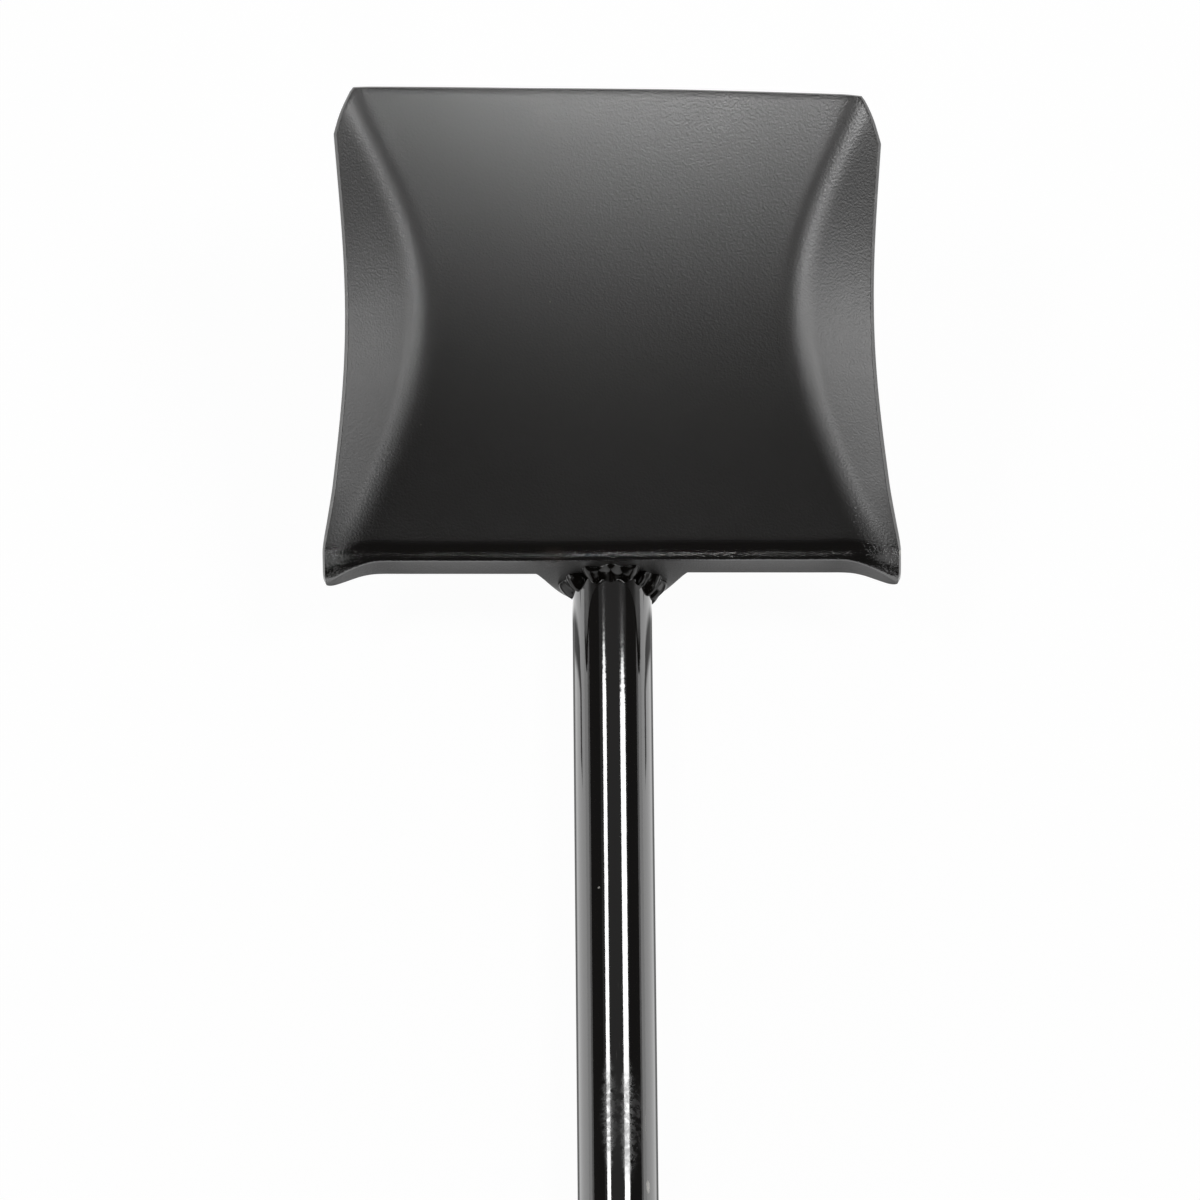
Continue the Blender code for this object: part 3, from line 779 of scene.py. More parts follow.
@dataclass(frozen=True)
class Blade(Assembly):
    """The pressed blade: pan, wings, rolled shoulder, foot step and tab in one sheet."""

    sheet: float = 0.0022
    edge_round: float = 0.0002
    satin_fade: float = 0.0030
    gloss_to_slope: float = math.radians(66)
    gloss_fade_angle: float = math.radians(12)
    length: float = 0.1837
    lift_at_shoulder: float = math.radians(20)
    lift_at_tip: float = math.radians(37)
    shoulder_radius: float = 0.0055
    corner_radius: float = 0.0011
    corner_slope: float = math.radians(48)
    middle_scale: float = 1.5
    nose_scale: float = 2.0
    nose_from: float = 0.0780
    nose_droop: float = 0.0035
    nose_droop_from: float = 0.0900
    nose_rise: float = 0.0045
    nose_flare: float = 0.0003
    nose_flare_from: float = 0.0120
    shoulder_half_width: float = 0.1146
    tip_half_width: float = 0.1085
    askew_angle: float = math.radians(0.6)
    tip_crown: float = 0.0010
    tip_out_of_square: float = math.radians(1.15)
    tip_corner_across: float = 0.0086
    tip_corner_along: float = 0.0166
    tip_corner_fullness: float = 1.04
    wing_widths: Point = (0.0130, 0.0370, 0.0075)
    wing_bow_fullness: float = 1.2
    wing_angles: Point = (math.radians(26), math.radians(42.3), math.radians(38))
    wing_middle_from: float = 0.15
    crease_width: float = 0.0160
    step: float = 0.0138
    step_corner_across: float = 0.0120
    step_corner_deep: float = 0.0115
    bend_share_at_corner: float = 0.6
    tab_root_half_width: float = 0.0302
    tab_end_half_width: float = 0.0140
    tab_flank_fullness: float = 1.2
    tube_behind_bend: float = 0.0265
    tab_depth: float = 0.0265 + 0.015875 + 0.0036
    step_rows: int = 12
    corner_rows: int = 8
    roll_rows: int = 16
    pan_rows: int = 72
    rim_steps: int = 4

    def beside(self, flat: float, start: float) -> float:
        """A smooth share from 0 at a start to 1 at the sheet's side edge."""
        return smooth((abs(flat) - start) / (self.shoulder_half_width - start))

    @property
    def roll_radius(self) -> float:
        """Radius of the shoulder's soft roll, above the tight corner that ends in the step."""
        depth = self.shoulder_radius * (1 - math.sin(self.lift_at_shoulder))
        depth -= self.corner_radius * (1 - math.sin(self.corner_slope))
        return depth / (math.sin(self.corner_slope) - math.sin(self.lift_at_shoulder))

    def bend_scale(self, flat: float) -> float:
        """How many times wider than the sharpest one the shoulder's bend is."""
        return self.middle_scale + (self.nose_scale - self.middle_scale) * self.beside(flat, self.nose_from)

    def bend_arcs(self, flat: float) -> list[tuple[float, float]]:
        """The soft roll and the tight corner, which both grow softer toward the noses.

        Args:
            flat: Distance from the sheet's middle.

        Returns:
            The radius of each arc, and the slope where it ends.
        """
        scale = self.bend_scale(flat)
        return [(self.roll_radius * scale, self.corner_slope), (self.corner_radius * scale, math.pi / 2)]

    def bend_limits(self, flat: float) -> tuple[float, float, float]:
        """Where the shoulder's roll starts, where its corner starts and where both end.

        Args:
            flat: Distance from the sheet's middle.

        Returns:
            The runs at the pan, at the corner and at the step.
        """
        turn = math.pi / 2 - self.lift_at_shoulder
        start = self.shoulder_radius * (self.bend_scale(flat) - 1) * math.tan(turn / 2)
        start -= self.nose_droop * self.beside(flat, self.nose_droop_from)
        slope = self.pan_line(start)[2]
        limits = [start]
        for radius, end_slope in self.bend_arcs(flat):
            limits.append(limits[-1] - radius * (end_slope - slope))
            slope = end_slope
        return limits[0], limits[1], limits[2]

    def pan_line(self, run: float) -> tuple[float, float, float]:
        """The dished pan's centre line, as the y, the z and the slope at a run past the bend."""
        dish_radius = self.length / (self.lift_at_tip - self.lift_at_shoulder)
        slope = self.lift_at_shoulder + run / dish_radius
        y = self.shoulder_radius * (1 - math.sin(self.lift_at_shoulder))
        z = self.tube_behind_bend + self.shoulder_radius * math.cos(self.lift_at_shoulder)
        y += dish_radius * (math.sin(slope) - math.sin(self.lift_at_shoulder))
        z += dish_radius * (math.cos(self.lift_at_shoulder) - math.cos(slope))
        return y, z, slope

    def centre_line(self, flat: float, run: float) -> tuple[float, float, float]:
        """The sheet's line from the step round the bend and along the pan.

        Args:
            flat: Distance from the sheet's middle.
            run: Distance along the sheet from the middle's shoulder bend, negative behind it.

        Returns:
            The y, the z and the slope there.
        """
        start = self.bend_limits(flat)[0]
        if run >= start:
            return self.pan_line(run)
        y, z, slope = self.pan_line(start)
        left = start - run
        for radius, end_slope in self.bend_arcs(flat):
            turn = min(left / radius, end_slope - slope)
            y -= radius * (math.sin(slope + turn) - math.sin(slope))
            z -= radius * (math.cos(slope) - math.cos(slope + turn))
            slope += turn
            left -= radius * turn
        return y, z - left, slope

    def wing_width(self, share: float) -> float:
        """Width of a wing past its crease, at a share of the blade's length."""
        share = min(max(share, 0.0), 1.0)
        at_shoulder, at_middle, at_tip = self.wing_widths
        ends = at_shoulder + (at_tip - at_shoulder) * share
        return ends + (at_middle - ends) * math.sin(math.pi * share) ** self.wing_bow_fullness

    def wing_angle(self, share: float) -> float:
        """How steeply a wing rises from the pan, at a share of the blade's length."""
        share = min(max(share, 0.0), 1.0)
        at_shoulder, at_middle, at_tip = self.wing_angles
        if share < self.wing_middle_from:
            away = (self.wing_middle_from - share) / self.wing_middle_from
            return at_middle + (at_shoulder - at_middle) * away**2
        away = (share - self.wing_middle_from) / (1 - self.wing_middle_from)
        return at_middle + (at_tip - at_middle) * away**2

    def half_width(self, run: float) -> float:
        """Half the flat sheet's width."""
        share = min(max(run / self.length, 0.0), 1.0)
        return self.shoulder_half_width + (self.tip_half_width - self.shoulder_half_width) * share

    def across(self, flat: float, run: float) -> tuple[float, float]:
        """Fold a point of the flat sheet into the wing.

        Args:
            flat: Distance from the sheet's middle.
            run: Distance along the sheet.

        Returns:
            How far sideways and how far forward the point lies.
        """
        share = run / self.length
        angle = self.wing_angle(share)
        crease_start = self.half_width(run) - self.wing_width(share) - self.crease_width / 2
        past = abs(flat) - crease_start
        if past <= 0:
            return flat, 0.0
        radius = self.crease_width / angle
        turn = min(past, self.crease_width) / radius
        straight = max(past - self.crease_width, 0.0)
        sideways = crease_start + radius * math.sin(turn) + straight * math.cos(angle)
        forward = radius * (1 - math.cos(turn)) + straight * math.sin(angle)
        return math.copysign(sideways, flat), forward

    def askew(self, sideways: float) -> float:
        """How far a point lies toward the handle, as the blade sits a little askew on the shaft."""
        beside = max(abs(sideways) - self.tab_root_half_width, 0.0)
        return math.copysign(beside, sideways) * math.tan(self.askew_angle)

    def point(self, flat: float, run: float) -> Vector:
        """A point on the front of the blade, from a point of the flat sheet."""
        sideways, forward = self.across(flat, run)
        y, z, slope = self.centre_line(flat, run)
        y -= forward * math.sin(slope) + self.askew(sideways)
        flare = self.nose_flare * self.beside(flat, self.nose_from) * smooth(1 - run / self.nose_flare_from)
        return Vector((sideways + math.copysign(flare, flat), y, z + forward * math.cos(slope)))

    def normal(self, flat: float, run: float) -> Vector:
        """The direction out of the front of the blade."""
        step = 0.00001
        over = self.point(flat + step, run) - self.point(flat - step, run)
        along = self.point(flat, run + step) - self.point(flat, run - step)
        return over.cross(along).normalized()

    def satin(self, flat: float, run: float) -> float:
        """How satin the paint is: it has run and flowed out smooth only on top of the bend."""
        start = self.bend_limits(flat)[0]
        slope = self.centre_line(flat, run)[2]
        on_pan = smooth((run - start) / self.satin_fade)
        on_step = smooth((slope - self.gloss_to_slope) / self.gloss_fade_angle)
        return max(on_pan, on_step)

    def tip_run(self, share: float) -> float:
        """Where the cutting edge lies along the blade, at a signed share of the half width."""
        corner = self.tip_corner_across / self.tip_half_width
        run = self.length + self.tip_crown * (1 - share**2)
        run -= share * self.tip_half_width * math.tan(self.tip_out_of_square)
        past = min((abs(share) - (1 - corner)) / corner, 1.0)
        if past > 0:
            fullness = self.tip_corner_fullness
            run -= self.tip_corner_along * (1 - (1 - past**fullness) ** (1 / fullness))
        return run

    def step_depth(self, flat: float) -> float:
        """Depth of the step behind the shoulder bend, at a distance from the centre."""
        slope_width = self.tab_root_half_width - self.tab_end_half_width
        rise = min(max((self.tab_root_half_width - abs(flat)) / slope_width, 0.0), 1.0)
        flank = math.sin(rise * math.pi / 2) ** self.tab_flank_fullness
        return self.step + (self.tab_depth - self.step) * flank

    def back_run(self, flat: float) -> float:
        """How far the sheet reaches back from the start of the shoulder bend."""
        end = self.bend_limits(flat)[2]
        face = self.centre_line(flat, end)[1] - self.tube_behind_bend + self.step_depth(flat)
        run = face - end - self.nose_rise * self.beside(flat, self.nose_droop_from)
        corner = self.step_corner_across
        past = (abs(flat) - (self.shoulder_half_width - corner)) / corner
        if past > 0:
            run -= self.step_corner_deep * (1 - math.sqrt(max(1 - past**2, 0.0)))
        return run

    def columns(self) -> list[tuple[float, float]]:
        """The sheet's columns.

        Returns:
            Each column's distance from the middle at the shoulder, and its place on the rounded rim.
        """
        inner = self.shoulder_half_width - self.edge_round
        corner_start = self.shoulder_half_width - self.step_corner_across
        crease_start = self.tip_half_width - self.wing_widths[1] - self.crease_width / 2
        places = [0.0]
        places += spaced(0.0, self.tab_end_half_width, 6)
        places += spaced(self.tab_end_half_width, self.tab_root_half_width, 18)
        places += spaced(self.tab_root_half_width, crease_start, 12)
        places += spaced(crease_start, corner_start, 30)
        span = inner - corner_start
        places += [corner_start + span * math.sin(turn) for turn in spaced(0.0, math.pi / 2, 14)]
        right = [(place, 0.0) for place in places]
        right += [(inner, turn) for turn in spaced(0.0, math.pi / 2, self.rim_steps)]
        return [(-place, -turn) for place, turn in reversed(right[1:])] + right

    def rows(self, place: float, turn: float) -> list[tuple[float, float]]:
        """The runs along one column.

        Args:
            place: The column's distance from the middle at the shoulder.
            turn: The column's place on the rounded rim.

        Returns:
            Each row's run, and its place on the rounded rim.
        """
        flat = place + self.edge_round * math.sin(turn)
        back = self.back_run(flat)
        tip = self.tip_run(flat / self.shoulder_half_width)
        start, corner, end = self.bend_limits(flat)
        shrink = min(1.0, self.bend_share_at_corner * back / -end)
        turns = [0.0, *spaced(0.0, math.pi / 2, self.rim_steps)]
        runs = [(-back + self.edge_round * (1 - math.sin(t)), t) for t in reversed(turns)]
        inside = spaced(-back + self.edge_round, end * shrink, self.step_rows)
        inside += spaced(end * shrink, corner * shrink, self.corner_rows)
        inside += spaced(corner * shrink, start, self.roll_rows)
        inside += spaced(start, tip - self.edge_round, self.pan_rows)
        runs += [(run, 0.0) for run in inside]
        runs += [(tip - self.edge_round * (1 - math.sin(t)), t) for t in turns[1:]]
        return runs

    def build(self) -> None:
        """Build the blade and dress it in satin enamel."""
        inner = self.shoulder_half_width - self.edge_round
        fronts, backs, rims, satins = [], [], [], []
        for place, column_turn in self.columns():
            front, back, rim, satin = [], [], [], []
            for run, row_turn in self.rows(place, column_turn):
                scale = (self.half_width(run) - self.edge_round) / inner
                flat = place * scale + self.edge_round * math.sin(column_turn)
                outward = min(math.hypot(math.sin(row_turn), math.sin(column_turn)), 1.0)
                drop = self.edge_round * (1 - math.sqrt(1 - outward**2))
                normal = self.normal(flat, run)
                surface = self.point(flat, run)
                front.append(surface - normal * drop)
                back.append(surface - normal * (self.sheet - drop))
                rim.append(outward)
                satin.append(self.satin(flat, run))
            fronts.append(front)
            backs.append(back)
            rims.append(rim)
            satins.append(satin)
        rings = [list(row) + list(reversed(under)) for row, under in zip(zip(*fronts), zip(*backs))]
        layers = {
            "rim": [list(row) + list(reversed(row)) for row in zip(*rims)],
            "satin": [list(row) + list(reversed(row)) for row in zip(*satins)],
        }
        mesh = skin("blade_form", rings, cap=Cap.STRIP, layers=layers, sharp_angle=math.radians(60))
        self.add("blade", mesh, BLADE_ENAMEL.material())


@dataclass(frozen=True)
class Shaft(Assembly):
    """The steel tube, open at the blade, and the plug in its upper end."""

    radius: float = 0.015875
    wall: float = 0.0016
    length: float = 0.7200
    gap: float = 0.0003
    end_round: float = 0.0004
    spigot: float = 0.0140
    flange: float = 0.0022
    dome: float = 0.0020
    steps: int = 128

    @property
    def end_y(self) -> float:
        """Where the tube's upper end lies."""
        return -self.gap - self.length

    def build(self) -> None:
        """Build the tube and its plug."""
        axis = Vector((0, 1, 0))
        centre = Vector((0, 0, 0))
        bore = self.radius - self.wall
        corners = [
            (self.radius, -self.gap),
            (self.radius, self.end_y),
            (bore, self.end_y),
            (bore, -self.gap),
        ]
        section = supported(rounded(corners, self.end_round), self.end_round)
        tube = turned("shaft_tube_form", section, axis, centre, self.steps)
        self.add("shaft_tube", tube, SHAFT_ENAMEL.material())

        seat = self.end_y - self.gap
        spigot = bore - self.gap
        profile = [(0.0, self.end_y + self.spigot)]
        profile += rounded([(spigot, self.end_y + self.spigot), (spigot, seat), (0.0, seat)], 0.0010)[:5]
        profile += [(spigot, seat), (self.radius - 0.0003, seat), (self.radius, seat - 0.0003)]
        profile.append((self.radius, seat - self.flange + 0.0004))
        for turn in [math.radians(4), *spaced(math.radians(4), math.pi / 2, 14)]:
            rise = self.dome * math.sin(turn)
            profile.append((self.radius * max(math.cos(turn), 0.0), seat - self.flange - rise))
        plug = turned("shaft_end_plug_form", profile, axis, centre, 96, loop=False)
        moulded = MouldedBlack("injection_moulded_polyethylene", "#1B1B1C", 0.42, 0.8, 0.015, dust=0.15)
        self.add("shaft_end_plug", plug, moulded.material())


@dataclass(frozen=True)
class Bead:
    """A weld bead's run round the tube, in degrees from the front, with its legs and lobes."""

    name: str
    start: float
    end: float
    face_leg: float
    tube_leg: float
    lobes: int


@dataclass(frozen=True)
class Welds(Assembly):
    """Hand-laid fillet welds, as lumpy beads whose sections bulge."""

    lumps: float = 0.16
    bulge: float = 1.45
    start_size: float = 0.35
    start_sharpness: float = 6
    sunk: float = 0.00015
    outline_points: int = 14
    stations_per_lobe: int = 16
    ripple_depth: float = 0.006
    ripples_per_lobe: int = 3
    rough_depth: float = 0.0009
    rough_size: float = 0.0062

    def outline(self, foot: float, rise: float) -> list[tuple[float, float]]:
        """A bead's section.

        Args:
            foot: How far the bead reaches along the one surface.
            rise: How far it reaches up the other surface.

        Returns:
            The section's points, a little sunk into both surfaces.
        """
        points = [(-self.sunk, -self.sunk)]
        for turn in [0.0, *spaced(0.0, math.pi / 2, self.outline_points)]:
            along = max(math.cos(turn), 0.0) ** (2 / self.bulge)
            up = math.sin(turn) ** (2 / self.bulge)
            points.append((-self.sunk + (foot + self.sunk) * along, -self.sunk + (rise + self.sunk) * up))
        return points

    def size(self, share: float, lobes: int) -> float:
        """Size of a bead along its run: swelling lobes with ripples, and rounded ends."""
        swell = 1 - self.lumps + self.lumps * math.cos(2 * math.pi * lobes * (share - 0.5))
        swell += self.ripple_depth * math.sin(2 * math.pi * lobes * self.ripples_per_lobe * share)
        full = math.sqrt(max(1 - abs(2 * share - 1) ** self.start_sharpness, 0.0))
        return swell * (self.start_size + (1 - self.start_size) * full)

    def roughened(self, rings: list[list[Vector]], middle: Vector) -> list[list[Vector]]:
        """Make a bead's skin uneven, as cooled steel is.

        Args:
            rings: The bead's sections.
            middle: A direction out of the surfaces that the bead joins.

        Returns:
            The sections, moved in or out by a smooth noise.
        """
        for ring in rings:
            for point in ring[1:]:
                point += middle * noise.noise(point / self.rough_size) * self.rough_depth
        return rings


@dataclass(frozen=True)
class StepWelds(Welds):
    """The ring of beads round the tube, where it stands on the step's tab."""

    tube_radius: float = 0.015875
    beads: tuple[Bead, ...] = (
        Bead("weld_front", -38, 36, 0.0092, 0.0046, 3),
        Bead("weld_right", 38, 140, 0.0062, 0.0074, 4),
        Bead("weld_back", 142, 218, 0.0030, 0.0056, 5),
        Bead("weld_left", 220, 320, 0.0056, 0.0062, 3),
    )

    def build(self) -> None:
        """Build the four beads."""
        material = WELD_ENAMEL.material()
        for bead in self.beads:
            rings = []
            for share in [0.0, *spaced(0.0, 1.0, self.stations_per_lobe * bead.lobes)]:
                angle = math.radians(bead.start + (bead.end - bead.start) * share)
                outward = Vector((math.sin(angle), 0, math.cos(angle)))
                size = self.size(share, bead.lobes)
                section = self.outline(bead.face_leg * size, bead.tube_leg * size)
                ring = [outward * (self.tube_radius + foot) + Vector((0, -rise, 0)) for foot, rise in section]
                rings.append(ring)
            rings = self.roughened(rings, Vector((0, -1, 0)))
            self.add(bead.name, skin(f"{bead.name}_form", rings, cap=Cap.FAN), material)


@dataclass(frozen=True)
class Straps(Welds):
    """The two formed straps of the D grip, and the beads that join them to the tube."""

    thickness: float = 0.0030
    width: float = 0.0280
    on_tube: float = 0.0550
    past_tube: float = 0.0050
    bend_radius: float = 0.0300
    spread: float = math.radians(42)
    corner: float = 0.0080
    cup_after_bend: float = 0.25
    end_turn: float = math.radians(78)
    hand_width: float = 0.1120
    grip_straight: float = 0.0200
    edge_round: float = 0.0007
    rim_steps: int = 3
    columns: int = 18
    tube_radius: float = 0.015875
    tube_end_y: float = -0.7203
    gap: float = 0.0003
    hole_radius: float = 0.0044
    weld_length: float = 0.0440
    weld_foot: float = 0.0034
    weld_rise: float = 0.0027
    weld_lobes: int = 5

    @property
    def middle(self) -> float:
        """Radius of the strap's middle, where it is cupped round the tube."""
        return self.tube_radius + self.gap + self.thickness / 2

    def path(self) -> list[tuple[float, float, float, float]]:
        """The right strap's middle line, from above its lower corners to the bolt.

        Returns:
            The x, the y, the heading and the cup at each place, where a cup of 1 fits the tube.
        """
        spread_x = self.hand_width / 2 + self.thickness / 2 - self.middle
        bend_x = self.bend_radius * (1 - math.cos(self.spread))
        slant = (spread_x - 2 * bend_x) / math.sin(self.spread)
        bend_run = self.bend_radius * self.spread
        moves = [
            (self.on_tube + self.past_tube - self.corner, 0.0, 10, 1.0, 1.0),
            (bend_run, self.spread, 18, 1.0, self.cup_after_bend),
            (slant, 0.0, 8, self.cup_after_bend, 0.0),
            (bend_run, -self.spread, 18, 0.0, 0.0),
            (self.grip_straight, 0.0, 4, 0.0, 0.0),
        ]
        x, y, heading = self.middle, self.tube_end_y + self.on_tube - self.corner, 0.0
        path = [(x, y, heading, 1.0)]
        for length, turn, steps, cup_from, cup_to in moves:
            for i in range(steps):
                middle = heading + turn * (i + 0.5) / steps
                x += length / steps * math.sin(middle)
                y -= length / steps * math.cos(middle)
                cup = cup_from + (cup_to - cup_from) * (i + 1) / steps
                path.append((x, y, heading + turn * (i + 1) / steps, cup))
            heading += turn
        return path

    @property
    def bolt_y(self) -> float:
        """Where the grip's bolt crosses the straps."""
        return self.path()[-1][1]

    def stations(self) -> list[tuple[float, float, float, float, float, float]]:
        """Places along the right strap, with its rounded corners, its round end and its rim.

        Returns:
            The x, the y, the heading, the cup, the half width and the turn of the rim at each place.
        """
        half = self.width / 2
        path = self.path()
        x, y, heading, cup = path[0]
        stations = []
        for turn in reversed(spaced(0.0, math.pi / 2, self.rim_steps)):
            rim_y = y + self.corner - self.edge_round * (1 - math.sin(turn))
            stations.append((x, rim_y, heading, cup, half - self.corner, turn))
        for turn in [0.0, *spaced(0.0, math.pi / 2, 9)[:-1]]:
            start_y = y + (self.corner - self.edge_round) * math.cos(turn)
            stations.append((x, start_y, heading, cup, half - self.corner * (1 - math.sin(turn)), 0.0))
        for x, y, heading, cup in path:
            stations.append((x, y, heading, cup, half, 0.0))
        for turn in spaced(0.0, self.end_turn, 14):
            stations.append((x, y - half * math.sin(turn), heading, cup, half * math.cos(turn), 0.0))
        last = half * math.sin(self.end_turn)
        for turn in spaced(0.0, math.pi / 2, self.rim_steps):
            rim_y = y - last - self.edge_round * math.sin(turn) * 0.4
            stations.append((x, rim_y, heading, cup, half * math.cos(self.end_turn), turn))
        return stations

    def section(
        self, x: float, y: float, heading: float, cup: float, half: float, rim_turn: float
    ) -> tuple[list[Vector], list[float]]:
        """One closed ring round the strap.

        Args:
            x: Where the strap's middle is, beside the shaft.
            y: Where the strap's middle is, along the shaft.
            heading: How far the strap leans outward there.
            cup: How strongly the strap is cupped.
            half: Half the strap's width there.
            rim_turn: The ring's own place on the rounded rim of the strap's ends.

        Returns:
            The ring's points and their rim values.
        """
        inward = Vector((-math.cos(heading), -math.sin(heading), 0))
        bend = cup / self.middle
        reach = max(half - self.edge_round, 0.0001)
        places = [(place, 0.0) for place in [-reach, *spaced(-reach, reach, self.columns)]]
        turns = spaced(0.0, math.pi / 2, self.rim_steps)
        places = [(-reach, -turn) for turn in reversed(turns)] + places + [(reach, turn) for turn in turns]
        outer, inner, rims = [], [], []
        for place, turn in places:
            flat = place + self.edge_round * math.sin(turn)
            outward = min(math.hypot(math.sin(turn), math.sin(rim_turn)), 1.0)
            drop = self.edge_round * (1 - math.sqrt(1 - outward**2))
            angle = flat * bend
            sideways = math.sin(angle) / bend if bend else flat
            inwards = (1 - math.cos(angle)) / bend if bend else 0.0
            middle = Vector((x, y, sideways)) + inward * inwards
            out = Vector((0, 0, 1)) * math.sin(angle) - inward * math.cos(angle)
            outer.append(middle + out * (self.thickness / 2 - drop))
            inner.append(middle - out * (self.thickness / 2 - drop))
            rims.append(outward)
        return outer + inner[::-1], rims + rims[::-1]

    def strap_mesh(self, name: str, side: int) -> bpy.types.Mesh:
        """One strap, drilled for the bolt.

        Args:
            name: The mesh's name.
            side: 1 for the right strap and -1 for the left one.

        Returns:
            The strap's mesh.
        """
        rings, rims = zip(*(self.section(*station) for station in self.stations()))
        rings = [[Vector((side * p.x, p.y, p.z)) for p in ring] for ring in rings]
        mesh = skin(name, rings, cap=Cap.STRIP, layers={"rim": rims}, sharp_angle=math.radians(60))
        strap = bpy.data.objects.new(name, mesh)
        reach = self.hand_width
        rod = [(0.0, -reach), (self.hole_radius, -reach), (self.hole_radius, reach), (0.0, reach)]
        centre = Vector((0, self.bolt_y, 0))
        drill_mesh = turned("drill", rod, Vector((1, 0, 0)), centre, 48, loop=False)
        cutter = bpy.data.objects.new("drill", drill_mesh)
        for obj in (strap, cutter):
            bpy.context.scene.collection.objects.link(obj)
        drill = strap.modifiers.new("bolt_hole", "BOOLEAN")
        drill.solver = "EXACT"
        drill.object = cutter
        graph = bpy.context.evaluated_depsgraph_get()
        drilled = bpy.data.meshes.new_from_object(strap.evaluated_get(graph))
        drilled.set_sharp_from_angle(angle=math.radians(50))
        for obj in (strap, cutter):
            bpy.data.objects.remove(obj)
        return drilled

    def build(self) -> None:
        """Build both straps and their four beads."""
        painted = STRAP_ENAMEL.material()
        for name, side in (("strap_right", 1), ("strap_left", -1)):
            self.add(name, self.strap_mesh(f"{name}_form", side), painted)
        edge_angle = self.width / 2 / self.middle
        start_y = self.tube_end_y + self.on_tube - self.corner
        for side_name, side in (("left", -1), ("right", 1)):
            for face_name, face in (("front", 1), ("back", -1)):
                name = f"strap_weld_{side_name}_{face_name}"
                rings = []
                for share in [0.0, *spaced(0.0, 1.0, self.stations_per_lobe * self.weld_lobes)]:
                    y = start_y - self.weld_length * share
                    size = self.size(share, self.weld_lobes)
                    ring = []
                    for rise, foot in self.outline(self.weld_rise * size, self.weld_foot * size):
                        angle = edge_angle + (foot + self.gap) / self.tube_radius
                        radius = self.tube_radius + rise
                        ring.append(
                            Vector((side * radius * math.cos(angle), y, face * radius * math.sin(angle)))
                        )
                    rings.append(ring)
                rings = self.roughened(rings, Vector((0, 0, face)))
                self.add(name, skin(f"{name}_form", rings, cap=Cap.FAN), painted)


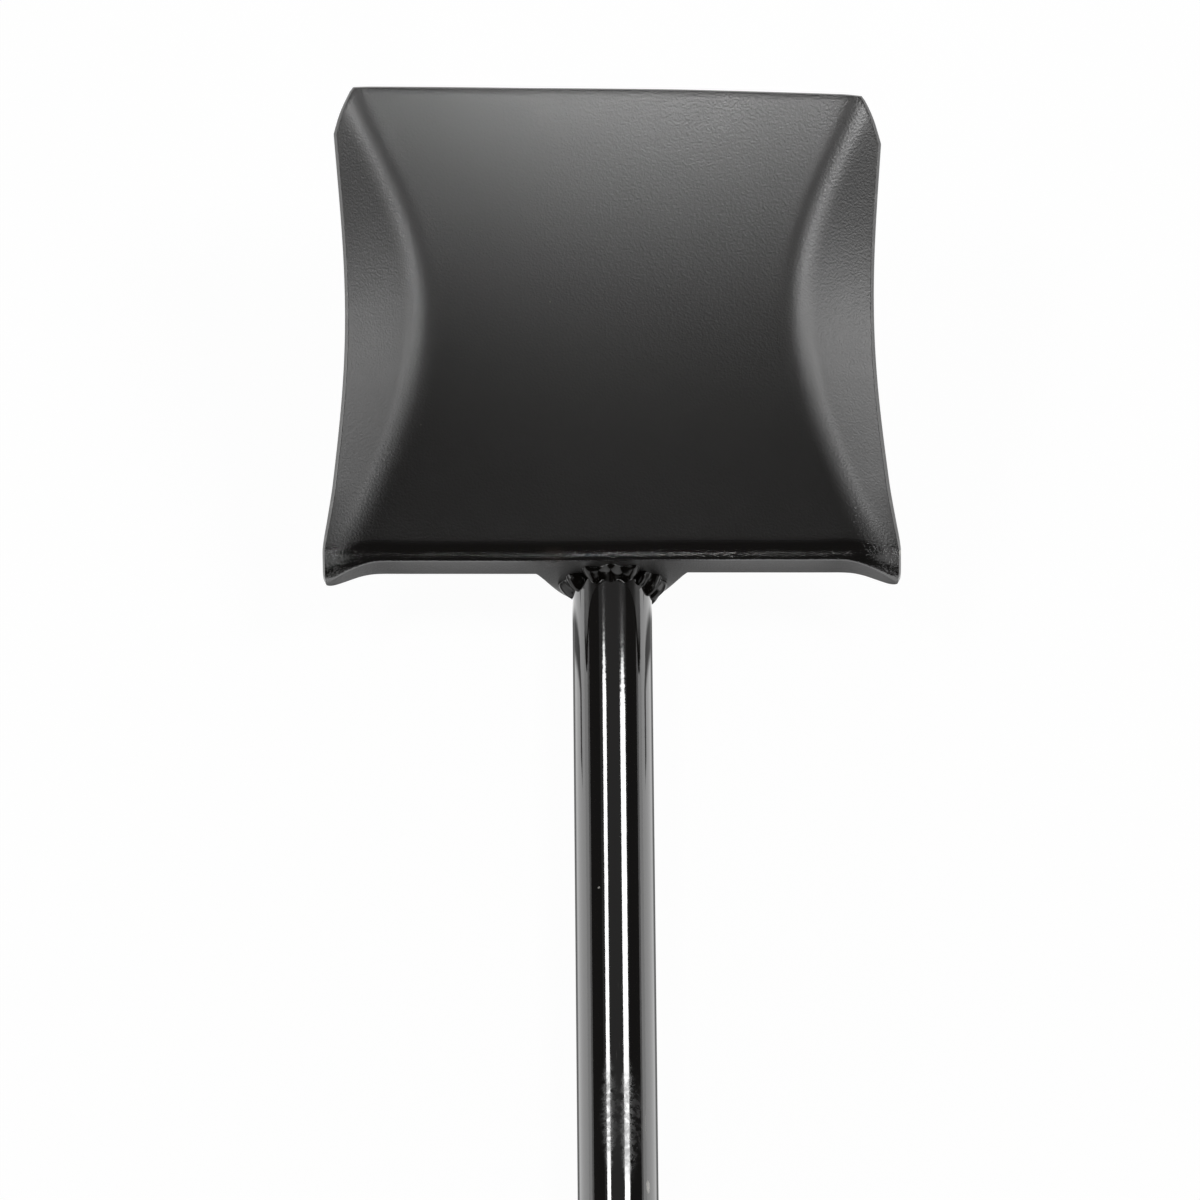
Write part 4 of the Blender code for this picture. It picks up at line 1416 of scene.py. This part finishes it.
@dataclass(frozen=True)
class Grip(Assembly):
    """The moulded sleeve on its spacer tube, and the bolt, nut and washers that hold them."""

    axis_y: float
    hand_width: float = 0.1120
    strap_thickness: float = 0.0030
    gap: float = 0.0003
    bolt_radius: float = 0.0040
    hole_radius: float = 0.0044
    head_radius: float = 0.0078
    head_height: float = 0.0042
    thread_pitch: float = 0.00125
    thread_depth: float = 0.0006
    nut_corner_radius: float = 0.0075
    nut_height: float = 0.0080
    nut_collar_radius: float = 0.0060
    nut_collar_height: float = 0.0018
    past_nut: float = 0.0020
    washer_radius: float = 0.0095
    washer_thickness: float = 0.0016
    spacer_radius: float = 0.0064
    sleeve_radius: float = 0.0150
    sleeve_swell: float = 0.0010
    collar_radius: float = 0.0172
    collar_width: float = 0.0050
    grooves: int = 6
    groove_width: float = 0.0058
    groove_depth: float = 0.0008
    steps: int = 96

    @property
    def seat(self) -> float:
        """Where the bolt's head and the nut bear on the washers."""
        return self.hand_width / 2 + self.strap_thickness + self.washer_thickness + 2 * self.gap

    def sleeve_profile(self) -> list[tuple[float, float]]:
        """The hand grip's section: a rounded collar at each end, a slight swell and ring grooves.

        Returns:
            The section as (radius, along) points.
        """
        half = self.hand_width / 2 - 2 * self.gap
        bore = self.spacer_radius + self.gap
        body = half - self.collar_width
        pitch = 2 * body / (self.grooves + 1)
        outside = []
        for x in [-body, *spaced(-body, body, 150)]:
            radius = self.sleeve_radius + self.sleeve_swell * math.cos(math.pi / 2 * x / body)
            for i in range(self.grooves):
                away = abs(x + body - pitch * (i + 1)) / (self.groove_width / 2)
                if away < 1:
                    radius -= self.groove_depth * (0.5 + 0.5 * math.cos(math.pi * away))
            outside.append((radius, x))
        collar = [(bore, -half), (self.collar_radius, -half), (self.collar_radius, -body)]
        left = rounded([*collar, outside[0], (bore, -body)], 0.0009)[:15]
        right = [(radius, -x) for radius, x in reversed(left)]
        return left + outside[1:-1] + right

    def bolt_rings(self) -> list[list[Vector]]:
        """The bolt: a domed head, a plain shank and a threaded end.

        Returns:
            Rings of points along the bolt.
        """
        end = self.seat + self.nut_height + self.past_nut
        thread_from = self.seat - 0.004
        places = []
        for turn in reversed(spaced(0.0, math.pi / 2, 12)):
            radius = self.head_radius * max(math.cos(turn), 0.0)
            places.append((radius, -self.seat - self.head_height * math.sin(turn), 0.0))
        places += [(self.head_radius, -self.seat - 0.0003, 0.0), (self.head_radius - 0.0003, -self.seat, 0.0)]
        places += [(self.bolt_radius, -self.seat, 0.0), (self.bolt_radius, thread_from, 0.0)]
        for x in spaced(thread_from, end - 0.0006, 110):
            places.append((self.bolt_radius, x, self.thread_depth))
        places += [(self.bolt_radius - 0.0007, end, 0.0), (0.0, end, 0.0)]
        rings = []
        for radius, x, depth in places:
            ring = []
            for i in range(48):
                angle = 2 * math.pi * i / 48
                phase = 2 * math.pi * x / self.thread_pitch - angle
                here = radius - depth * (0.5 + 0.5 * math.cos(phase))
                ring.append(Vector((x, self.axis_y + here * math.cos(angle), here * math.sin(angle))))
            rings.append(ring)
        return rings

    def nut_rings(self) -> list[list[Vector]]:
        """The lock nut: a chamfered hexagon with a rolled collar that holds its insert.

        Returns:
            Rings of points along the nut, with the last one in its bore.
        """
        corner = self.nut_corner_radius
        flat = corner * math.cos(math.pi / 6)
        hexagon_end = self.seat + self.nut_height - self.nut_collar_height
        end = self.seat + self.nut_height
        bore = self.bolt_radius + self.gap
        limits = [
            (bore, self.seat),
            (flat - 0.0001, self.seat),
            (corner, self.seat + 0.0006),
            (corner, hexagon_end - 0.0006),
            (flat - 0.0001, hexagon_end),
            (self.nut_collar_radius, hexagon_end + 0.0001),
            (self.nut_collar_radius, end - 0.0006),
            (self.nut_collar_radius - 0.0002, end - 0.0002),
            (self.nut_collar_radius - 0.0007, end),
            (bore + 0.0006, end),
            (bore + 0.0002, end - 0.0004),
            (bore, end - 0.0008),
        ]
        rings = []
        for limit, x in limits:
            ring = []
            for i in range(72):
                angle = 2 * math.pi * i / 72
                from_flat = (angle % (math.pi / 3)) - math.pi / 6
                radius = min(limit, flat / math.cos(from_flat))
                ring.append(Vector((x, self.axis_y + radius * math.cos(angle), radius * math.sin(angle))))
            rings.append(ring)
        return rings

    def build(self) -> None:
        """Build the sleeve, the spacer, the washers, the bolt and the nut."""
        axis = Vector((1, 0, 0))
        centre = Vector((0, self.axis_y, 0))
        rubber = MouldedBlack("moulded_natural_rubber", "#1E1D1D", 0.60, 0.9, 0.035, dust=0.35)
        sleeve = turned("grip_sleeve_form", self.sleeve_profile(), axis, centre, self.steps)
        self.add("grip_sleeve", sleeve, rubber.material())

        zinc = ZincPlate("bright_zinc_plate_on_turned_steel", self.axis_y).material()
        reach = self.hand_width / 2 - self.gap
        spacer = [
            (self.spacer_radius, -reach),
            (self.spacer_radius, reach),
            (self.hole_radius, reach),
            (self.hole_radius, -reach),
        ]
        section = supported(rounded(spacer, 0.0003), 0.0003)
        mesh = turned("grip_spacer_tube_form", section, axis, centre, 64)
        self.add("grip_spacer_tube", mesh, zinc)
        outer = self.hand_width / 2 + self.strap_thickness + self.gap
        for name, side in (("grip_washer_left", -1), ("grip_washer_right", 1)):
            ring = [
                (self.washer_radius, side * outer),
                (self.washer_radius, side * (outer + self.washer_thickness)),
                (self.hole_radius, side * (outer + self.washer_thickness)),
                (self.hole_radius, side * outer),
            ]
            mesh = turned(f"{name}_form", rounded(ring, 0.0003), axis, centre, 64)
            self.add(name, mesh, zinc)
        self.add("grip_bolt", skin("grip_bolt_form", self.bolt_rings()), zinc)
        self.add("grip_nut", skin("grip_nut_form", self.nut_rings(), loop=True), zinc)


# Studio


class LampKind(Enum):
    """The kinds of lamp in the studio."""

    PANEL = "AREA"
    SNOOT = "SPOT"


@dataclass(frozen=True)
class Lamp:
    """A lamp of the studio, in the tool's frame.

    Attributes:
        name: The lamp's name.
        kind: A flat panel, or a snooted head with a narrow beam.
        place: Where it hangs.
        aim: Where it points.
        radiance: Brightness of its face, where 1 is white.
        size: A panel's sides, the first one nearest the tool's length, or a head's radius and beam angle.
    """

    name: str
    kind: LampKind
    place: Point
    aim: Point
    radiance: float
    size: tuple[float, float]

    def build(self) -> None:
        """Hang the lamp."""
        data = bpy.data.lights.new(self.name, self.kind.value)
        if self.kind is LampKind.PANEL:
            data.shape = "RECTANGLE"
            data.size, data.size_y = self.size
            data.energy = self.radiance * math.pi * data.size * data.size_y
        else:
            radius, beam = self.size
            data.shadow_soft_size = radius
            data.spot_size = beam
            data.spot_blend = 1.0
            data.energy = self.radiance * 4 * math.pi**2 * radius**2
        lamp = bpy.data.objects.new(self.name, data)
        bpy.context.scene.collection.objects.link(lamp)
        away = (Vector(self.place) - Vector(self.aim)).normalized()
        along = Vector((0, 1, 0))
        along = (along - away * along.dot(away)).normalized()
        turn = Matrix((along, away.cross(along), away)).transposed().to_4x4()
        lamp.matrix_world = TOOL @ Matrix.Translation(self.place) @ turn
        lamp.visible_camera = False


def panel(name: str, place: Point, aim: Point, radiance: float, size: tuple[float, float]) -> Lamp:
    """A flat panel lamp."""
    return Lamp(name, LampKind.PANEL, place, aim, radiance, size)


def snoot(name: str, place: Point, aim: Point, radiance: float, size: tuple[float, float]) -> Lamp:
    """A snooted lamp."""
    return Lamp(name, LampKind.SNOOT, place, aim, radiance, size)


@dataclass(frozen=True)
class Studio:
    """The white paper, the dark room above it, the lamps and the camera.

    Attributes:
        distance: From the tool to the camera.
        tilt: How far the camera leans from straight above, toward the handle.
        roll: How far the camera is turned about its own axis.
        aim_x: The point that the camera looks at, across the tool.
        aim_up: The same point, up the picture.
        lens: Focal length in millimetres, on a sensor 36 mm wide.
        room: Brightness of the dark room, as the paint mirrors it.
    """

    distance: float = 4.0
    tilt: float = math.radians(18)
    roll: float = math.radians(0.56)
    aim_x: float = -0.00482
    aim_up: float = -0.00662
    lens: float = 300.0
    room: float = 0.035
    lamps: tuple[Lamp, ...] = (
        panel("strip_left", (-0.69, 0.285, 1.48), (0.0, 0.285, 0.0), 7.5, (0.37, 0.28)),
        panel("strip_left_end", (-0.70, 0.481, 1.48), (0.0, 0.481, 0.0), 7.0, (0.018, 0.15)),
        panel("strip_right", (0.76, 0.285, 1.48), (0.0, 0.285, 0.0), 7.5, (0.37, 0.42)),
        panel("strip_right_end", (0.78, 0.481, 1.48), (0.0, 0.481, 0.0), 7.0, (0.018, 0.22)),
        panel("ceiling", (0.0, 0.80, 2.10), (0.0, 0.0, 0.0), 0.08, (1.3, 3.4)),
        panel("wall_left", (-1.9, 0.85, 0.20), (0.0, 0.85, 0.10), 0.95, (1.5, 0.40)),
        panel("wall_right", (1.9, 0.85, 0.20), (0.0, 0.85, 0.10), 0.95, (1.5, 0.40)),
        panel("wall_left_top", (-1.9, 0.85, 0.51), (0.0, 0.85, 0.10), 0.40, (1.5, 0.20)),
        panel("wall_right_top", (1.9, 0.85, 0.51), (0.0, 0.85, 0.10), 0.40, (1.5, 0.20)),
        panel("card_left", (-1.9, -0.55, 0.32), (0.0, 0.1, 0.10), 3.8, (1.2, 0.64)),
        panel("card_right", (1.9, -0.55, 0.32), (0.0, 0.1, 0.10), 2.8, (1.2, 0.64)),
        panel("card_left_top", (-1.6, -1.00, 0.98), (0.0, 0.1, 0.10), 0.5, (1.2, 0.80)),
        panel("card_right_top", (1.6, -1.00, 0.98), (0.0, 0.1, 0.10), 0.5, (1.2, 0.80)),
        snoot("tip_snoot", (0.10, -1.55, 1.12), (0.01, 0.218, 0.173), 166.0, (0.10, 0.19)),
        snoot("wing_snoot_left", (1.33, -0.68, 1.06), (-0.10, 0.165, 0.11), 100.0, (0.10, 0.12)),
        snoot("wing_snoot_right", (-1.33, -0.62, 1.06), (0.10, 0.165, 0.11), 130.0, (0.10, 0.12)),
        snoot("nose_snoot_left", (0.48, -1.20, 0.91), (-0.10, 0.0, 0.03), 30.0, (0.14, 0.035)),
        snoot("nose_snoot_right", (-0.69, -1.02, 0.98), (0.10, 0.0, 0.03), 30.0, (0.14, 0.035)),
        snoot("weld_snoot", (0.75, -0.95, 1.15), (0.005, -0.006, 0.02), 60.0, (0.05, 0.035)),
    )

    def build(self) -> None:
        """Lay the floor, darken the room, hang the lamps and set up the camera."""
        self.lay_floor()
        self.darken_room()
        for lamp in self.lamps:
            lamp.build()
        self.set_camera()

    def lay_floor(self) -> None:
        """Lay a sheet of white paper under the tool."""
        half = 4.0
        mesh = bpy.data.meshes.new("paper")
        corners = [(-half, -half, 0), (half, -half, 0), (half, half, 0), (-half, half, 0)]
        mesh.from_pydata(corners, [], [(0, 1, 2, 3)])
        mesh.materials.append(PaperFloor().material())
        paper = bpy.data.objects.new("paper", mesh)
        bpy.context.scene.collection.objects.link(paper)

    def darken_room(self) -> None:
        """Make the room white to the camera and dim to everything else."""
        world = bpy.data.worlds.new("room")
        bpy.context.scene.world = world
        world.use_nodes = True
        tree = world.node_tree
        path = add_node(tree, "ShaderNodeLightPath")
        strength = add_node(
            tree,
            "ShaderNodeMapRange",
            {"To Min": self.room, "To Max": 1.0},
            {"Value": path.outputs["Is Camera Ray"]},
        )
        background = tree.nodes["Background"]
        background.inputs["Color"].default_value = (1.0, 1.0, 1.0, 1.0)
        tree.links.new(strength.outputs[0], background.inputs["Strength"])

    def set_camera(self) -> None:
        """Set the camera at the photograph's viewing angle."""
        toward = Vector((0, -math.sin(self.tilt), math.cos(self.tilt)))
        up = Vector((0, math.cos(self.tilt), math.sin(self.tilt)))
        right = Vector((1, 0, 0))
        rolled_right = right * math.cos(self.roll) - up * math.sin(self.roll)
        rolled_up = right * math.sin(self.roll) + up * math.cos(self.roll)
        place = right * self.aim_x + up * self.aim_up + toward * self.distance
        turn = Matrix((rolled_right, rolled_up, toward)).transposed().to_4x4()
        data = bpy.data.cameras.new("photo_camera")
        data.sensor_width = 36.0
        data.lens = self.lens
        data.clip_end = 20.0
        camera = bpy.data.objects.new("photo_camera", data)
        bpy.context.scene.collection.objects.link(camera)
        camera.matrix_world = TOOL @ Matrix.Translation(place) @ turn
        bpy.context.scene.camera = camera


def main() -> None:
    """Build the sub-assemblies in order, then the studio."""
    logging.basicConfig(level=logging.INFO, format="%(name)s: %(message)s")
    bpy.context.scene.view_settings.view_transform = "Standard"
    straps = Straps()
    parts = [Blade(), Shaft(), StepWelds(), straps, Grip(axis_y=straps.bolt_y), Studio()]
    for part in parts:
        LOG.info("building %s", type(part).__name__)
        part.build()
    bpy.context.view_layer.update()


if __name__ == "__main__":
    main()
